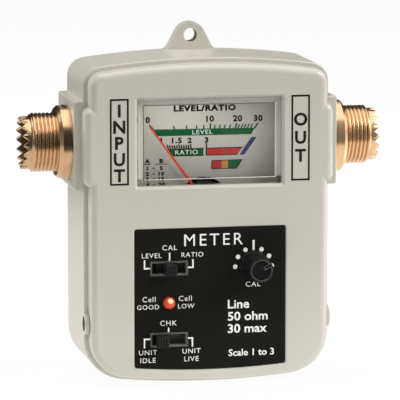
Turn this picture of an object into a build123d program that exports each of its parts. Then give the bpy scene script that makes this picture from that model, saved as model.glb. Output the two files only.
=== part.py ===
from build123d import *
import os

# Handheld antenna tester: a two shell case with a panel meter, two slide switches, a set control,
# an indicator lamp and a coaxial through line between two ports, run from a block battery.
# X runs to the right, Z up and the front faces -Y. The origin is the middle of the flat back.
# Depths are measured forward from the back, and places on the front are (x, z).

os.makedirs("parts", exist_ok=True)

# Case shells
case_width = 67.2
case_height = 88.0
rear_depth = 26.0
cover_rise = 5.5
end_arc_radius = 220.0
top_corner_radius = 5.0
bottom_corner_radius = 11.5
case_wall = 2.0
ledge_width = 1.2
back_edge_radius = 0.5
cover_edge_radius = 2.0
lip_depth = 2.0
lip_wall = 1.2
lip_gap = 0.15
overrun = 1.0
fit_gap = 0.25
press_gap = 0.03
running_gap = 0.05

# Side pads that carry the ports
pad_height = 24.0
pad_reach = 2.4
pad_wall = 3.0
pad_rim = 2.0
pad_ledge = 2.0
pad_edge_radius = 0.6
rim_edge_radius = 0.4
bump_height = 21.4
bump_radius = 2.2

# Hanging lug
lug_rise = 7.5
lug_radius = 4.2
lug_base_width = 13.8
lug_base_drop = 0.8
lug_thickness = 4.0
lug_flare_radius = 2.4
lug_hole_radius = 1.85
lug_hole_lift = 0.6

# Side screws on the parting plane
screw_height = -27.2
tab_radius = 3.0
screw_hole_radius = 2.05
screw_head_radius = 1.95
screw_head_height = 1.0
screw_shank_radius = 1.1
screw_length = 5.0
screw_slot_width = 0.7
screw_slot_depth = 0.6
receiver_depth = 5.4
receiver_height = 6.4
receiver_drop = 3.2

# Snap hooks at the top of the cover
hook_spacing = 30.0
hook_width = 8.0
hook_reach = 4.5
hook_thickness = 1.1
hook_barb = 0.7
hook_barb_length = 1.2

# Label panel and its recess
panel_width = 41.2
panel_top = -1.3
panel_bottom = -39.7
panel_corner_radius = 0.6
panel_recess = 0.6
panel_thickness = 0.45
panel_gap = 0.12
recess_edge_radius = 0.4

# Controls on the front
switch_x = -11.25
mode_height = -12.0
power_height = -31.4
lamp_height = -21.35
knob_x = 12.0
knob_height = -11.75
slot_length = 9.45
slot_width = 3.1
slot_rim = 0.38

# Main board
board_width = 51.0
board_meter_gap = 1.0
board_bottom = -36.0
board_corner_radius = 3.0
board_thickness = 1.6
board_front = 24.5
board_screw_x = 22.5
board_top_inset = 5.0
board_bottom_inset = 2.5
board_boss_radius = 2.5
board_screw_radius = 1.0
board_screw_length = 5.0
board_head_radius = 1.9
board_head_height = 1.1
pin_radius = 0.35
pin_hole_gap = 0.1
pin_tail = 0.7

# Parts on the front of the board
chip_x = 8.0
chip_height = -24.0
chip_length = 9.8
chip_width = 6.4
chip_thickness = 3.3
cap_places = ((17.5, -21.5), (17.5, -27.5), (11.5, -31.5))
cap_radius = 2.2
cap_height = 4.2
resistor_x = 2.5
resistor_heights = (-15.0, -17.5, -29.5, -32.0)
resistor_length = 4.4
resistor_radius = 0.9

# Slide switches
can_length = 12.4
can_width = 5.6
can_wall = 0.5
can_gap = 0.2
base_thickness = 1.2
slider_width = 2.9
slider_grip = 4.2
slider_plate_length = 6.4
slider_plate_width = 4.2
slider_plate_thickness = 1.3
slider_edge_radius = 0.3
grip_ribs = 3
grip_rib_width = 0.35
grip_rib_depth = 0.35
switch_step = 2.2
switch_pins = 4
switch_pin_pitch = 2.5

# Set control
pot_size = 9.6
pot_height = 4.2
pot_collar_radius = 3.0
pot_collar_height = 0.5
pot_pins = 3
pot_pin_pitch = 2.5
shaft_radius = 1.5
shaft_seat = 3.0
shaft_hole_radius = 2.0
knob_base_radius = 3.9
knob_top_radius = 3.3
knob_rise = 9.8
knob_gap = 0.35
knob_bore_depth = 8.0
knob_edge_radius = 0.4
knob_dish_radius = 2.75
knob_dish_depth = 0.5
knob_notch_start = 1.0
knob_notch_width = 0.7
knob_notch_depth = 0.9
knob_angle = -62.0

# Indicator lamp
lamp_radius = 1.6
lamp_flange_radius = 1.95
lamp_flange_height = 0.8
lamp_proud = 0.2
lamp_lead_pitch = 1.27
lamp_lead_size = 0.5

# Meter
window_width = 39.5
window_height = 23.5
window_center = 21.95
window_corner_radius = 0.3
window_bevel = 0.7
window_gap = 0.15
window_sink = 0.5
window_skin = 1.0
window_edge_radius = 0.3
window_wall = 1.2
window_draft = 8.0
meter_width = 42.6
meter_top = 35.4
meter_foot = 10.3
meter_flange = 1.1
meter_depth = 6.2
meter_wall = 1.2
meter_ear = 5.0
meter_ear_height = 6.0
meter_ear_thickness = 1.6
meter_ear_sink = 1.0
meter_boss_radius = 2.4
meter_screw_radius = 1.0
meter_screw_length = 3.2
meter_head_radius = 1.8
meter_head_height = 1.1
pivot_x = -0.8
rest_angle = 36.1
plate_thickness = 0.5
plate_stand = 1.4
plate_gap = 0.3
plate_bottom = 7.0
plate_post_radius = 1.2
plate_post_inset = 2.2
plate_notch_radius = 7.4
plate_notch_drop = 1.15
well_radius = 9.0
well_wall = 1.0
well_gap = 0.6
well_depth = 10.6
yoke_inner_radius = 6.3
yoke_length = 9.2
core_radius = 4.2
core_gap = 0.3
core_arm_width = 2.4
coil_outer = 5.9
coil_inner = 4.6
coil_width = 1.4
coil_end = 0.6
pivot_radius = 0.45
bush_radius = 1.0
bush_length = 1.3
needle_length = 25.3
needle_root_width = 0.8
needle_tip_width = 0.4
needle_thickness = 0.25
hub_radius = 1.5
hub_height = 1.1
tail_length = 5.4
tail_width = 1.0
weight_length = 2.0
weight_width = 2.4
spring_turns = 3
spring_inner = 0.7
spring_step = 0.75
spring_wire = 0.2
spring_height = 0.5
bridge_radius = 6.6
bridge_drop = 1.05
bridge_thickness = 0.6
bridge_lift = 0.3
bridge_foot_x = 7.6
bridge_foot_gap = 0.4
bridge_neck_width = 6.0
bridge_foot_radius = 1.3
terminal_x = 15.5
terminal_height = 2.5
terminal_radius = 1.6
terminal_length = 5.0
terminal_nut_radius = 2.6
terminal_nut_height = 1.4
lead_radius = 0.5
lead_bend = 2.0
lead_inset = 1.25

# Ports
port_height = 20.9
port_depth = 15.2
port_reach = 13.0
port_flange_radius = 9.5
port_flange = 2.0
thread_radius = 7.9375
thread_pitch = 1.0583
thread_depth = 0.55
thread_crest_share = 0.3
port_hole_gap = 0.15
port_bore_radius = 6.2
nose_radius = 7.1
nose_length = 2.3
nose_chamfer = 0.7
tooth_count = 16
tooth_depth = 1.5
washer_radius = 10.0
washer_thickness = 1.2
nut_flats = 19.0
nut_radius = 10.0
nut_thickness = 2.3
nut_chamfer = 0.9
insulator_length = 12.0
contact_radius = 2.9
contact_bore_radius = 2.0
contact_bore_depth = 14.0
contact_reach = 13.5
contact_tail = 4.0

# Through line and pick-up
line_radius = 1.6
shield_size = 9.6
shield_wall = 0.8
shield_end_gap = 0.1
pickup_end = 7.0
pickup_thickness = 1.2
pickup_lead_inset = 2.0

# Battery and its bay
battery_length = 46.4
battery_width = 26.2
battery_thickness = 17.3
battery_edge_radius = 1.2
battery_gap = 0.4
battery_floor_gap = 0.2
stud_spacing = 12.7
stud_height = 2.1
stud_small_radius = 2.9
stud_large_radius = 3.5
snap_gap = 0.3
snap_thickness = 3.0
snap_width = 24.0
snap_depth = 11.0
snap_corner_radius = 3.0
snap_socket_gap = 0.15
snap_room = 3.0
bay_wall = 1.2
bay_floor = 1.0
bay_bottom = -37.6
door_thickness = 2.0
door_rim = 1.0
door_seat_gap = 0.1
door_corner_radius = 1.5
door_tab_x = 16.0
door_tab_width = 8.0
door_tab_thickness = 0.8
door_tab_drop = 1.6
door_tab_root = 0.45
door_back_gap = 0.15
door_grip_width = 14.0
door_grip_height = 5.0
door_grip_depth = 0.8
wire_radius = 0.5
wire_bend = 0.8
wire_offset = 4.0
wire_hole_gap = 0.2

# Levels and places that follow from the sizes above
half_width = case_width / 2
half_height = case_height / 2
face_depth = rear_depth + cover_rise
cover_inside = face_depth - case_wall
recess_floor = face_depth - panel_recess
pad_face = half_width + pad_reach
pad_inside = pad_face - pad_wall
pivot_height = port_height - shield_size / 2 - well_gap - well_wall - well_radius
meter_bottom = pivot_height - meter_foot
board_top = meter_bottom - board_meter_gap
board_screw_heights = (board_top - board_top_inset, board_bottom + board_bottom_inset)
board_back = board_front - board_thickness
tail_depth = board_back - pin_tail
flange_front = cover_inside - can_gap
housing_front = flange_front - meter_flange
housing_back = housing_front - meter_depth
housing_floor = housing_back + meter_wall
meter_center = (meter_top + meter_bottom) / 2
meter_height = meter_top - meter_bottom
well_back = housing_back - well_depth
well_floor = well_back + well_wall
yoke_front = well_floor + yoke_length
coil_back = well_floor + bush_length - well_wall + core_gap
coil_front = housing_back + core_gap
plate_back = housing_floor + plate_stand
plate_front = plate_back + plate_thickness
bridge_front = housing_front - bridge_lift
bridge_back = bridge_front - bridge_thickness
bridge_foot_height = meter_bottom + meter_wall + bridge_foot_gap + bridge_foot_radius
hub_front = bridge_back - bridge_lift
hub_back = hub_front - hub_height
needle_back = hub_back + (hub_height - needle_thickness) / 2
spring_back = plate_back - spring_height
bay_length = battery_gap * 2 + battery_length + stud_height + snap_room + battery_gap
bay_height = battery_width + battery_gap * 2
bay_center = bay_bottom + bay_height / 2
battery_back = door_thickness + door_tab_thickness + door_back_gap
battery_front = battery_back + battery_thickness
battery_middle = (battery_back + battery_front) / 2
bay_inside = battery_front + battery_floor_gap
bay_front = bay_inside + bay_floor
battery_left = battery_gap - bay_length / 2
stud_face = battery_left + battery_length
snap_face = stud_face + snap_gap + snap_thickness
wire_x = snap_face + wire_bend + running_gap * 2
door_width = bay_length + (door_rim - fit_gap) * 2
door_height = bay_height + (door_rim - fit_gap) * 2
door_bottom = bay_center - door_height / 2
door_tab_swing = ((door_thickness + door_tab_thickness) ** 2 + door_tab_drop**2) ** 0.5
port_tip = pad_face + port_reach
washer_face = pad_face + washer_thickness
nut_face = washer_face + nut_thickness
flange_back = pad_inside - port_flange
contact_tip = flange_back + contact_reach
contact_end = flange_back - contact_tail
pickup_back = port_depth + shield_size / 2
pickup_width = (flange_back - pickup_end) * 2
pickup_lead_x = pickup_width / 2 - pickup_lead_inset
lead_landing = board_top - lead_inset


def depth_plane(depth):
    return Plane.XZ.offset(depth)


def side_plane(side, reach, depth, height):
    return Plane(origin=(side * reach, -depth, height), x_dir=(0, 1, 0), z_dir=(side, 0, 0))


def slab(face, near, far, mode=Mode.ADD):
    # A flat section between two depths.
    with BuildSketch(depth_plane(near)) as section:
        add(face)
    extrude(section.sketch, amount=far - near, mode=mode)


def side_slab(face, plane, length, mode=Mode.ADD):
    # A flat section run out sideways from a plane across X.
    with BuildSketch(plane) as section:
        add(face)
    extrude(section.sketch, amount=length, mode=mode)


def rectangle(width, height, x=0, z=0, radius=0, turn=0):
    with BuildSketch() as face:
        with Locations((x, z)):
            Rectangle(width, height, rotation=turn)
        if radius:
            fillet(face.vertices(), radius)
    return face.sketch


def disc(radius, x=0, z=0):
    with BuildSketch() as face:
        with Locations((x, z)):
            Circle(radius)
    return face.sketch


def arc_sag(radius, half_chord):
    return radius - (radius**2 - half_chord**2) ** 0.5


def outline(inset):
    # The case seen from the front, drawn in from its outer edge by inset.
    side = half_width - inset
    crown = half_height - inset
    shoulder = crown - arc_sag(end_arc_radius, side)
    with BuildSketch() as face:
        with BuildLine():
            Line((-side, -shoulder), (-side, shoulder))
            ThreePointArc((-side, shoulder), (0, crown), (side, shoulder))
            Line((side, shoulder), (side, -shoulder))
            ThreePointArc((side, -shoulder), (0, -crown), (-side, -shoulder))
        make_face()
        corners = face.vertices().group_by(Axis.Y)
        fillet(corners[-1], top_corner_radius - inset)
        corners = face.vertices().group_by(Axis.Y)
        fillet(corners[0], bottom_corner_radius - inset)
    return face.sketch


def lug_outline():
    # The lug, wide at its foot and round at its top, flared into the top edge of the case.
    lug_center = half_height + lug_rise - lug_radius
    with BuildSketch() as face:
        with BuildLine():
            CenterArc((0, lug_center), lug_radius, 0, 360)
            Line(
                (-lug_base_width / 2, half_height - lug_base_drop),
                (lug_base_width / 2, half_height - lug_base_drop),
            )
        make_hull()
        add(outline(0))
        feet = face.vertices().filter_by(lambda v: lug_radius < abs(v.X) < lug_base_width)
        fillet(feet.group_by(Axis.Y)[-1], lug_flare_radius)
    return face.sketch


def bumps(reach, height, radius):
    # One bar across the case that stands out at both pads.
    return rectangle(reach * 2, height, 0, port_height, radius)


def panel_outline(inset):
    # The label panel: straight sides and top, with a bottom edge that follows the case.
    side = panel_width / 2 - inset
    crown = panel_bottom + inset
    foot = crown + arc_sag(end_arc_radius, side)
    with BuildSketch() as face:
        with BuildLine():
            Polyline((-side, foot), (-side, panel_top - inset), (side, panel_top - inset), (side, foot))
            ThreePointArc((side, foot), (0, crown), (-side, foot))
        make_face()
        fillet(face.vertices(), panel_corner_radius)
    return face.sketch


def wire(points, radius, bend):
    # A round lead along straight runs with rounded corners.
    with BuildLine() as route:
        FilletPolyline(*points, radius=bend)
    with BuildSketch(Plane(origin=route.line @ 0, z_dir=route.line % 0)) as section:
        Circle(radius)
    sweep(section.sketch, path=route.line)


switch_places = {"mode": (mode_height, 0), "power": (power_height, -switch_step)}
board_screw_places = [(side * board_screw_x, z) for side in (-1, 1) for z in board_screw_heights]
switch_pin_xs = [switch_x + (i - (switch_pins - 1) / 2) * switch_pin_pitch for i in range(switch_pins)]
pot_pin_xs = [knob_x + (i - (pot_pins - 1) / 2) * pot_pin_pitch for i in range(pot_pins)]
pot_pin_height = knob_height - pot_size / 2 + pot_pin_pitch / 2
lamp_lead_xs = [switch_x - lamp_lead_pitch, switch_x + lamp_lead_pitch]
meter_screw_x = meter_width / 2 + meter_ear / 2
meter_screw_height = meter_bottom + meter_ear_height / 2
ear_front = flange_front - meter_flange - meter_ear_sink
ear_back = ear_front - meter_ear_thickness

# Rear case: shell, pads, lug, screw tabs and the battery bay
with BuildPart() as rear_case:
    slab(outline(0), 0, rear_depth)
    slab(bumps(pad_face, pad_height, 0), 0, rear_depth)
    pad_edges = rear_case.edges().filter_by(Axis.Y).filter_by(lambda e: abs(e.center().X) > half_width)
    fillet(pad_edges, pad_edge_radius)
    fillet(rear_case.edges().group_by(Axis.Y)[0], rim_edge_radius)
    slab(lug_outline(), 0, lug_thickness)
    fillet(rear_case.edges().group_by(Axis.Y)[-1], back_edge_radius)
    slab(outline(case_wall), case_wall, rear_depth + overrun, Mode.SUBTRACT)
    hollow = bumps(pad_inside, pad_height - pad_rim * 2, 0)
    slab(hollow, case_wall, rear_depth + overrun, Mode.SUBTRACT)
    bay = rectangle(bay_length + bay_wall * 2, bay_height + bay_wall * 2, 0, bay_center)
    with BuildSketch(depth_plane(case_wall)) as bay_section:
        add(bay)
        add(outline(case_wall / 2), mode=Mode.INTERSECT)
    extrude(bay_section.sketch, amount=bay_front - case_wall)
    slab(rectangle(bay_length, bay_height, 0, bay_center), -overrun, bay_inside, Mode.SUBTRACT)
    pocket = rectangle(
        bay_length + door_rim * 2, bay_height + door_rim * 2, 0, bay_center, door_corner_radius
    )
    slab(pocket, -overrun, door_thickness + door_seat_gap, Mode.SUBTRACT)
    for side in (-1, 1):
        tab_slot = rectangle(
            door_tab_width + fit_gap * 2,
            door_tab_drop + bay_wall + fit_gap * 2,
            side * door_tab_x,
            door_bottom + (bay_wall - door_tab_drop) / 2,
        )
        slab(tab_slot, case_wall, door_tab_swing + fit_gap, Mode.SUBTRACT)
        tab = disc(tab_radius)
        tab_plane = side_plane(side, half_width - ledge_width + lip_gap, rear_depth, screw_height)
        side_slab(tab, tab_plane, ledge_width - lip_gap)
        hole_plane = side_plane(side, half_width - case_wall - overrun, rear_depth, screw_height)
        side_slab(disc(screw_hole_radius), hole_plane, case_wall + overrun * 2, Mode.SUBTRACT)
        port_plane = side_plane(side, pad_inside - overrun, port_depth, port_height)
        side_slab(disc(thread_radius + port_hole_gap), port_plane, pad_wall + overrun * 2, Mode.SUBTRACT)
        hook_pocket = rectangle(
            hook_width + fit_gap * 2,
            hook_barb * 2 + fit_gap * 2,
            side * hook_spacing / 2,
            half_height - case_wall - arc_sag(end_arc_radius, hook_spacing / 2),
        )
        pocket_back = rear_depth - hook_reach - fit_gap
        slab(hook_pocket, pocket_back, pocket_back + hook_barb_length + fit_gap * 2, Mode.SUBTRACT)
        wire_hole = disc(wire_radius + wire_hole_gap, wire_x, bay_center + side * wire_offset)
        slab(wire_hole, bay_inside - overrun, bay_front + overrun, Mode.SUBTRACT)
    hang_height = half_height + lug_rise - lug_radius + lug_hole_lift
    slab(disc(lug_hole_radius, 0, hang_height), -overrun, lug_thickness + overrun, Mode.SUBTRACT)
rear_case.part.label = "rear_case"
export_step(rear_case.part, "parts/rear_case.step")

# Bar across the front cover that stands out over both pads
with BuildPart() as cover_bar:
    slab(bumps(pad_face - pad_ledge, bump_height, bump_radius), rear_depth, face_depth)
    fillet(cover_bar.edges().group_by(Axis.Y)[0], cover_edge_radius)

# Front cover: face, side walls, locating lip, hooks, bosses and openings
with BuildPart() as front_cover:
    slab(outline(ledge_width), rear_depth, face_depth)
    fillet(front_cover.edges().group_by(Axis.Y)[0], cover_edge_radius)
    add(cover_bar.part)
    slab(outline(ledge_width + case_wall), rear_depth - overrun, cover_inside, Mode.SUBTRACT)
    bump_inside = bumps(pad_face - pad_ledge - case_wall, bump_height - case_wall * 2, 0)
    slab(bump_inside, rear_depth - overrun, cover_inside, Mode.SUBTRACT)
    with BuildSketch(depth_plane(rear_depth - lip_depth)) as lip_section:
        add(outline(case_wall + lip_gap))
        add(outline(case_wall + lip_gap + lip_wall), mode=Mode.SUBTRACT)
        add(bumps(pad_face, pad_height + overrun, 0), mode=Mode.SUBTRACT)
    extrude(lip_section.sketch, amount=lip_depth + case_wall)
    for x, z in board_screw_places:
        slab(disc(board_boss_radius, x, z), board_front, cover_inside)
        pilot = disc(board_screw_radius + press_gap, x, z)
        slab(pilot, board_front, board_back + board_screw_length + fit_gap, Mode.SUBTRACT)
    for side in (-1, 1):
        slab(disc(meter_boss_radius, side * meter_screw_x, meter_screw_height), ear_front, cover_inside)
        pilot = disc(meter_screw_radius + press_gap, side * meter_screw_x, meter_screw_height)
        slab(pilot, ear_front, ear_back + meter_screw_length + fit_gap, Mode.SUBTRACT)
        receiver_out = half_width - case_wall - fit_gap
        receiver = rectangle(
            receiver_depth, receiver_height, side * (receiver_out - receiver_depth / 2), screw_height
        )
        slab(receiver, rear_depth - receiver_drop, cover_inside)
        seat_plane = side_plane(side, receiver_out, rear_depth, screw_height)
        side_slab(disc(screw_hole_radius), seat_plane, case_wall, Mode.SUBTRACT)
        side_slab(disc(screw_shank_radius + press_gap), seat_plane, -receiver_depth, Mode.SUBTRACT)
        hook_sag = arc_sag(end_arc_radius, (hook_spacing + hook_width) / 2)
        hook_top = half_height - case_wall - lip_gap - hook_sag
        hook = rectangle(hook_width, hook_thickness, side * hook_spacing / 2, hook_top - hook_thickness / 2)
        slab(hook, rear_depth - hook_reach, rear_depth)
        barb = rectangle(hook_width, hook_barb * 2, side * hook_spacing / 2, hook_top)
        slab(barb, rear_depth - hook_reach, rear_depth - hook_reach + hook_barb_length)
    slab(panel_outline(-panel_gap), recess_floor, face_depth + overrun, Mode.SUBTRACT)
    recess_edges = front_cover.edges().group_by(Axis.Y)[0].filter_by(
        lambda e: abs(e.center().X) < panel_width / 2 + overrun and panel_bottom - overrun < e.center().Z
        and e.center().Z < panel_top + overrun
    )
    fillet(recess_edges, recess_edge_radius)
    for height, _ in switch_places.values():
        rim = rectangle(slot_length + slot_rim * 2, slot_width + slot_rim * 2, switch_x, height)
        slab(rim, recess_floor, face_depth)
        slot = rectangle(slot_length, slot_width, switch_x, height)
        slab(slot, cover_inside - overrun, face_depth + overrun, Mode.SUBTRACT)
    lamp_hole = disc(lamp_radius + running_gap, switch_x, lamp_height)
    slab(lamp_hole, cover_inside - overrun, face_depth, Mode.SUBTRACT)
    shaft_hole = disc(shaft_hole_radius, knob_x, knob_height)
    slab(shaft_hole, cover_inside - overrun, face_depth, Mode.SUBTRACT)
    opening = rectangle(window_width, window_height, 0, window_center, window_corner_radius)
    slab(opening, cover_inside - overrun, face_depth + overrun, Mode.SUBTRACT)
    bevelled = front_cover.edges().group_by(Axis.Y)[0].filter_by(
        lambda e: e.center().Z > panel_top + window_corner_radius and e.length < window_width
        and abs(e.center().X) < window_width / 2 + overrun
    )
    chamfer(bevelled, window_bevel)
front_cover.part.label = "front_cover"
export_step(front_cover.part, "parts/front_cover.step")

# Label panel in the recess
with BuildPart() as label_panel:
    slab(panel_outline(0), recess_floor, recess_floor + panel_thickness)
    for height, _ in switch_places.values():
        margin = (slot_rim + panel_gap) * 2
        clear = rectangle(slot_length + margin, slot_width + margin, switch_x, height)
        slab(clear, recess_floor - overrun, face_depth, Mode.SUBTRACT)
    for radius, x, z in ((lamp_radius, switch_x, lamp_height), (shaft_hole_radius, knob_x, knob_height)):
        slab(disc(radius + panel_gap, x, z), recess_floor - overrun, face_depth, Mode.SUBTRACT)
label_panel.part.label = "label_panel"
export_step(label_panel.part, "parts/label_panel.step")

# Side screws, whose heads pin the two shells together
with BuildPart() as side_screws:
    for side in (-1, 1):
        seat_plane = side_plane(side, half_width - case_wall - fit_gap, rear_depth, screw_height)
        side_slab(disc(screw_head_radius), seat_plane, screw_head_height)
        side_slab(disc(screw_shank_radius), seat_plane, -screw_length)
        slot_plane = side_plane(
            side, half_width - case_wall - fit_gap + screw_head_height, rear_depth, screw_height
        )
        drive = rectangle(screw_slot_width, screw_head_radius * 2)
        side_slab(drive, slot_plane, -screw_slot_depth, Mode.SUBTRACT)
side_screws.part.label = "side_screws"
export_step(side_screws.part, "parts/side_screws.step")

# Battery door with two hinge tabs and a finger grip
with BuildPart() as battery_door:
    slab(
        rectangle(door_width, door_height, 0, bay_center, door_corner_radius - fit_gap), 0, door_thickness
    )
    for side in (-1, 1):
        tab_face = rectangle(
            door_tab_width,
            door_tab_drop + door_tab_root,
            side * door_tab_x,
            door_bottom + (door_tab_root - door_tab_drop) / 2,
        )
        slab(tab_face, door_thickness, door_thickness + door_tab_thickness)
    grip = rectangle(
        door_grip_width,
        door_grip_height,
        0,
        door_bottom + door_height - door_grip_height,
        door_corner_radius,
    )
    slab(grip, -overrun, door_grip_depth, Mode.SUBTRACT)
battery_door.part.label = "battery_door"
export_step(battery_door.part, "parts/battery_door.step")

# Battery, its studs, the snap that grips them and the leads
with BuildPart() as battery:
    body = rectangle(battery_length, battery_width, battery_left + battery_length / 2, bay_center)
    slab(body, battery_back, battery_front)
    fillet(battery.edges().filter_by(Axis.X), battery_edge_radius)
battery.part.label = "battery"
export_step(battery.part, "parts/battery.step")

with BuildPart() as battery_studs:
    for side, radius in ((-1, stud_small_radius), (1, stud_large_radius)):
        stud_plane = side_plane(1, stud_face, battery_middle, bay_center + side * stud_spacing / 2)
        side_slab(disc(radius), stud_plane, stud_height)
battery_studs.part.label = "battery_studs"
export_step(battery_studs.part, "parts/battery_studs.step")

with BuildPart() as battery_snap:
    snap_plane = side_plane(1, stud_face + snap_gap, battery_middle, bay_center)
    side_slab(rectangle(snap_depth, snap_width, 0, 0, snap_corner_radius), snap_plane, snap_thickness)
    for side, radius in ((-1, stud_small_radius), (1, stud_large_radius)):
        socket = disc(radius + snap_socket_gap, 0, side * stud_spacing / 2)
        side_slab(socket, snap_plane, stud_height, Mode.SUBTRACT)
battery_snap.part.label = "battery_snap"
export_step(battery_snap.part, "parts/battery_snap.step")

with BuildPart() as battery_leads:
    for side in (-1, 1):
        z = bay_center + side * wire_offset
        wire(
            [(snap_face, -battery_middle, z), (wire_x, -battery_middle, z), (wire_x, -board_back, z)],
            wire_radius,
            wire_bend,
        )
battery_leads.part.label = "battery_leads"
export_step(battery_leads.part, "parts/battery_leads.step")

# Main board with the holes for its screws and pins
with BuildPart() as main_board:
    board_middle = (board_top + board_bottom) / 2
    board_face = rectangle(board_width, board_top - board_bottom, 0, board_middle, board_corner_radius)
    slab(board_face, board_back, board_front)
    pin_places = [(x, height) for x in switch_pin_xs for height, _ in switch_places.values()]
    pin_places += [(x, pot_pin_height) for x in pot_pin_xs]
    for x, z in pin_places:
        pin_hole = disc(pin_radius + pin_hole_gap, x, z)
        slab(pin_hole, board_back - overrun, board_front + overrun, Mode.SUBTRACT)
    for x in lamp_lead_xs:
        lead_hole = disc(lamp_lead_size / 2 ** 0.5 + pin_hole_gap, x, lamp_height)
        slab(lead_hole, board_back - overrun, board_front + overrun, Mode.SUBTRACT)
    for x, z in board_screw_places:
        screw_hole = disc(board_screw_radius + pin_hole_gap, x, z)
        slab(screw_hole, board_back - overrun, board_front + overrun, Mode.SUBTRACT)
main_board.part.label = "main_board"
export_step(main_board.part, "parts/main_board.step")

with BuildPart() as board_screws:
    for x, z in board_screw_places:
        slab(disc(board_head_radius, x, z), board_back - board_head_height, board_back)
        slab(disc(board_screw_radius, x, z), board_back, board_back + board_screw_length)
board_screws.part.label = "board_screws"
export_step(board_screws.part, "parts/board_screws.step")

# Parts on the front of the board
with BuildPart() as board_chip:
    slab(rectangle(chip_length, chip_width, chip_x, chip_height), board_front, board_front + chip_thickness)
board_chip.part.label = "board_chip"
export_step(board_chip.part, "parts/board_chip.step")

with BuildPart() as board_capacitors:
    for x, z in cap_places:
        slab(disc(cap_radius, x, z), board_front, board_front + cap_height)
board_capacitors.part.label = "board_capacitors"
export_step(board_capacitors.part, "parts/board_capacitors.step")

with BuildPart() as board_resistors:
    for z in resistor_heights:
        lying = side_plane(1, resistor_x - resistor_length / 2, board_front + resistor_radius, z)
        side_slab(disc(resistor_radius), lying, resistor_length)
board_resistors.part.label = "board_resistors"
export_step(board_resistors.part, "parts/board_resistors.step")

# Slide switches: a metal can, an insulating base, pins and the slider
can_front = flange_front
can_inside = can_front - can_wall
base_front = board_front + base_thickness
plate_front_depth = can_inside - running_gap * 2
plate_back_depth = plate_front_depth - slider_plate_thickness
grip_front = face_depth + slider_grip
for switch_name, (height, offset) in switch_places.items():
    with BuildPart() as switch_can:
        slab(rectangle(can_length, can_width, switch_x, height), board_front, can_front)
        cavity = rectangle(can_length - can_wall * 2, can_width - can_wall * 2, switch_x, height)
        slab(cavity, board_front, can_inside, Mode.SUBTRACT)
        slab(rectangle(slot_length, slot_width, switch_x, height), board_front, can_front, Mode.SUBTRACT)
    switch_can.part.label = f"{switch_name}_switch_can"
    export_step(switch_can.part, f"parts/{switch_name}_switch_can.step")

    with BuildPart() as switch_base:
        base = rectangle(
            can_length - (can_wall + running_gap) * 2,
            can_width - (can_wall + running_gap) * 2,
            switch_x,
            height,
        )
        slab(base, board_front, base_front)
    switch_base.part.label = f"{switch_name}_switch_base"
    export_step(switch_base.part, f"parts/{switch_name}_switch_base.step")

    with BuildPart() as switch_pin_row:
        for x in switch_pin_xs:
            slab(disc(pin_radius, x, height), tail_depth, board_front)
    switch_pin_row.part.label = f"{switch_name}_switch_pins"
    export_step(switch_pin_row.part, f"parts/{switch_name}_switch_pins.step")

    with BuildPart() as slider:
        x = switch_x + offset
        flat = rectangle(slider_plate_length, slider_plate_width, x, height)
        slab(flat, plate_back_depth, plate_front_depth)
        slab(rectangle(slider_width, slider_width, x, height), plate_back_depth, grip_front)
        fillet(slider.edges().group_by(Axis.Y)[0], slider_edge_radius)
        for i in range(grip_ribs):
            rib_x = x + (i - (grip_ribs - 1) / 2) * slider_width / (grip_ribs + 1)
            groove = rectangle(grip_rib_width, slider_width + overrun, rib_x, height)
            slab(groove, grip_front - grip_rib_depth, grip_front + overrun, Mode.SUBTRACT)
    slider.part.label = f"{switch_name}_slider"
    export_step(slider.part, f"parts/{switch_name}_slider.step")

# Set control: body, pins, shaft and knob
pot_front = board_front + pot_height
shaft_back = pot_front - shaft_seat
knob_back = face_depth + knob_gap
knob_front = face_depth + knob_rise
with BuildPart() as set_pot_body:
    slab(rectangle(pot_size, pot_size, knob_x, knob_height), board_front, pot_front)
    slab(disc(pot_collar_radius, knob_x, knob_height), pot_front, pot_front + pot_collar_height)
    bore = disc(shaft_radius + running_gap, knob_x, knob_height)
    slab(bore, shaft_back - running_gap, pot_front + pot_collar_height, Mode.SUBTRACT)
set_pot_body.part.label = "set_pot_body"
export_step(set_pot_body.part, "parts/set_pot_body.step")

with BuildPart() as set_pot_pins:
    for x in pot_pin_xs:
        slab(disc(pin_radius, x, pot_pin_height), tail_depth, board_front)
set_pot_pins.part.label = "set_pot_pins"
export_step(set_pot_pins.part, "parts/set_pot_pins.step")

with BuildPart() as set_shaft:
    slab(disc(shaft_radius, knob_x, knob_height), shaft_back, knob_back + knob_bore_depth - fit_gap)
set_shaft.part.label = "set_shaft"
export_step(set_shaft.part, "parts/set_shaft.step")

with BuildPart() as set_knob:
    with BuildSketch(depth_plane(knob_back)) as knob_foot:
        add(disc(knob_base_radius, knob_x, knob_height))
    with BuildSketch(depth_plane(knob_front)) as knob_head:
        add(disc(knob_top_radius, knob_x, knob_height))
    loft([knob_foot.sketch, knob_head.sketch])
    fillet(set_knob.edges().group_by(Axis.Y)[0], knob_edge_radius)
    dish = disc(knob_dish_radius, knob_x, knob_height)
    slab(dish, knob_front - knob_dish_depth, knob_front, Mode.SUBTRACT)
    with BuildSketch(depth_plane(knob_front)) as notch:
        with Locations(Location((knob_x, knob_height), knob_angle)):
            with Locations((0, (knob_notch_start + knob_top_radius) / 2)):
                Rectangle(knob_notch_width, knob_top_radius - knob_notch_start)
    extrude(notch.sketch, amount=-knob_notch_depth, mode=Mode.SUBTRACT)
    knob_bore = disc(shaft_radius + press_gap, knob_x, knob_height)
    slab(knob_bore, knob_back, knob_back + knob_bore_depth, Mode.SUBTRACT)
set_knob.part.label = "set_knob"
export_step(set_knob.part, "parts/set_knob.step")

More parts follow.
